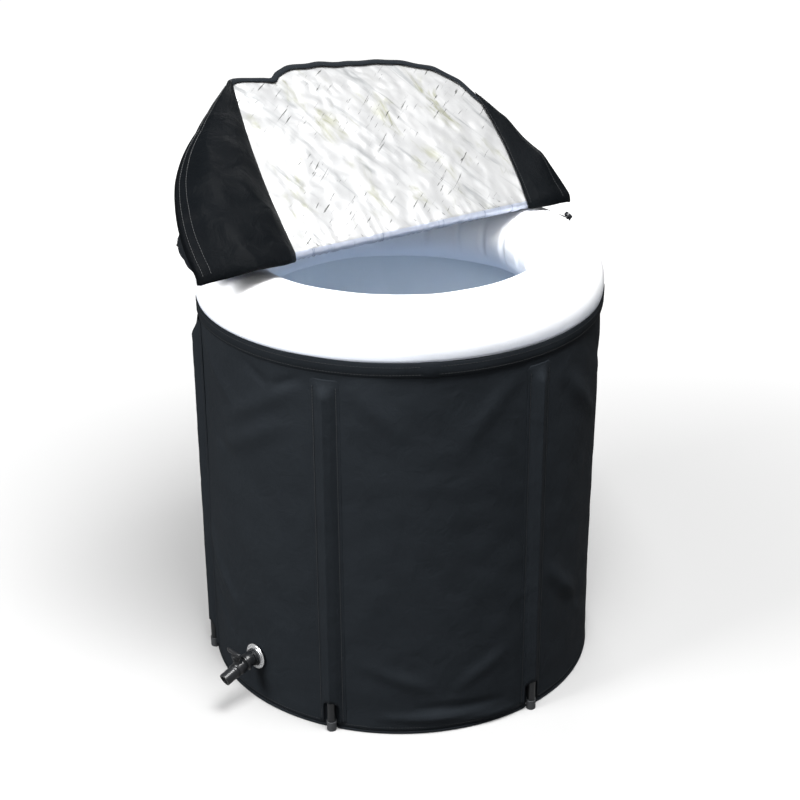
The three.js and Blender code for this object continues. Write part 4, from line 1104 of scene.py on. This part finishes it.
def build_drain():
    beads = [(EYELET_BORE, 0.3), (25, 0.3), (25, 2.4), (24, 3.6), (22.8, 3.6), (21.8, 0.8), (19.6, 0.8),
             (18.8, 3.8), (EYELET_BORE, 3.8)]
    lathe("eyelet", beads, DRAIN_OUT, "chrome", "drain_eyelet", round_by=0.9, steps=96)
    lathe("outer_washer", tube(11.3, 17.5, 4.1, 6.1), DRAIN_OUT, "rubber", "outer_gasket")
    lathe("nut", tube(11.3, 16.5, 6.4, 11.4), DRAIN_OUT, "plastic", "lock_nut", steps=8)
    lathe("inner_washer", tube(11.3, 23, -12.5, -10.5), DRAIN_OUT, "rubber", "inner_gasket")
    inlet = [(7.5, -16.8), (23, -16.8), (23, -12.8), (11, -12.8), (11, 18.7), (7.5, 18.7)]
    lathe("inlet", inlet, DRAIN_OUT, "plastic", "drain_inlet")

    stations = [(DRAIN @ moved(x), r, r) for x, r in ((11.7, 13), (12.3, 14), (16, 14))]
    for share in np.linspace(0.15, 0.85, 7):
        bent = DRAIN @ moved(ELBOW_BEND) @ Matrix.Rotation(TAP_DROOP * share, 4, "Y")
        stations.append((bent @ moved((share - 0.5) * 5), 14, 14))
    stations += [(TAP @ moved(x), r, r) for x, r in ((4, 14), (5.4, 14), (6, 13))]
    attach(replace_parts(swept("elbow", stations, "plastic", 56), "tap_elbow"), "tub")

    shell = [(0, 6.3), (17.5, 6.3), (17.5, 9.3), (12.5, 9.3), (14.5, 14.5), (14.5, 25), (12.5, 30.3),
             (0, 30.3)]
    body = lathe("tap_barrel", shell, TAP_OUT, "plastic", round_by=1.0, closed=False)
    neck = lathe("neck", tube(0, 8, 0, 21), STEM, "plastic", closed=False)
    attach(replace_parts(combined(body, neck, "UNION"), "tap_body"), "tub")
    spout = [(7.5, 30.6), (13.7, 30.6), (13.7, 35.6), (12.5, 35.6), (12.5, 60.1), (8.5, 60.1), (8.5, 35.6),
             (7.5, 35.6)]
    lathe("spout", spout, TAP_OUT, "plastic", "tap_spout", round_by=0.8)

    hub = lathe("tap_lever_grip", tube(0, 8, 21.3, 33), STEM, "plastic", round_by=1.2, closed=False)
    stations = []
    for side in np.linspace(-20, 20, 33):
        share = math.sqrt(max(0.02, 1 - (max(0.0, abs(side) - 14) / 6) ** 2))
        waist = 1 - 0.12 * math.exp(-(side / 7) ** 2)
        place = STEM @ moved(0, side, 37.3) @ Matrix.Rotation(math.radians(90), 4, "Z")
        stations.append((place, 3.5 * share, 6 * share * waist))
    grip = swept("grip", stations, "plastic")
    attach(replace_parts(combined(hub, grip, "UNION"), "tap_handle"), "tap_lever")
    dress("tap_ball", "chrome")


def build_valve():
    out = Vector(polar(VALVE_AZIMUTH, math.cos(VALVE_RISE), math.sin(VALVE_RISE)))
    slope = Vector(polar(VALVE_AZIMUTH, -math.sin(VALVE_RISE), math.cos(VALVE_RISE)))
    centre = Vector(polar(VALVE_AZIMUTH, RING_RADIUS, RING_HEIGHT)) + out * RING_TUBE
    place = Matrix((slope, out.cross(slope), out)).transposed().to_4x4()
    place.translation = centre
    base = [(2.5, -2), (15, -2), (15, 1.8), (9, 2), (9, 5), (2.5, 5)]
    lathe("valve_flange", base, place, "plastic", "valve_base", round_by=0.7)
    lathe("valve_nozzle", tube(2.5, 5, 5.3, 12.3), place, "plastic", "valve_stem")
    cap = [(0, 12.6), (6.6, 12.6), (6.6, 9.1), (8.1, 9.1), (8.1, 15.6), (0, 15.6)]
    stopper = lathe("valve_stopper", cap, place, "plastic", round_by=0.8, closed=False)
    path = [(-7.4, 10.2, 1.1), (-9.5, 8.6, 0.8), (-11.8, 5.4, 0.6), (-13.4, 3.2, 0.6), (-14.7, 2.9, 0.6)]
    tilt = Matrix.Rotation(math.radians(35), 4, "Y")
    stations = [(place @ moved(x, 0, z) @ tilt, 3.0, t) for x, z, t in path]
    strap = swept("strap", stations, "plastic", 24)
    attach(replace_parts(combined(stopper, strap, "UNION"), "valve_cap"), "valve_lid")


def dress(node, finish):
    """Give a CAD node that is shown as it is a finish."""
    shown = frame["nodes"][node]
    material, slot = FINISHES[finish]
    shown.data.materials.clear()
    shown.data.materials.append(material)


aim_camera()
build_studio()
build_jacket()
build_hem()
build_piping()
build_wall_seams()
build_hidden_layers()
build_poles()
build_ring()
build_liner()
build_lid()
build_drain()
build_valve()
for number in range(1, len(POLES) + 1):
    dress(f"pole_plug_{number}", "plastic")

low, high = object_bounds()
sizes = {"cad": [list(map(float, corner)) for corner in cad_box],
         "visual": [list(map(float, corner)) for corner in (low, high)]}
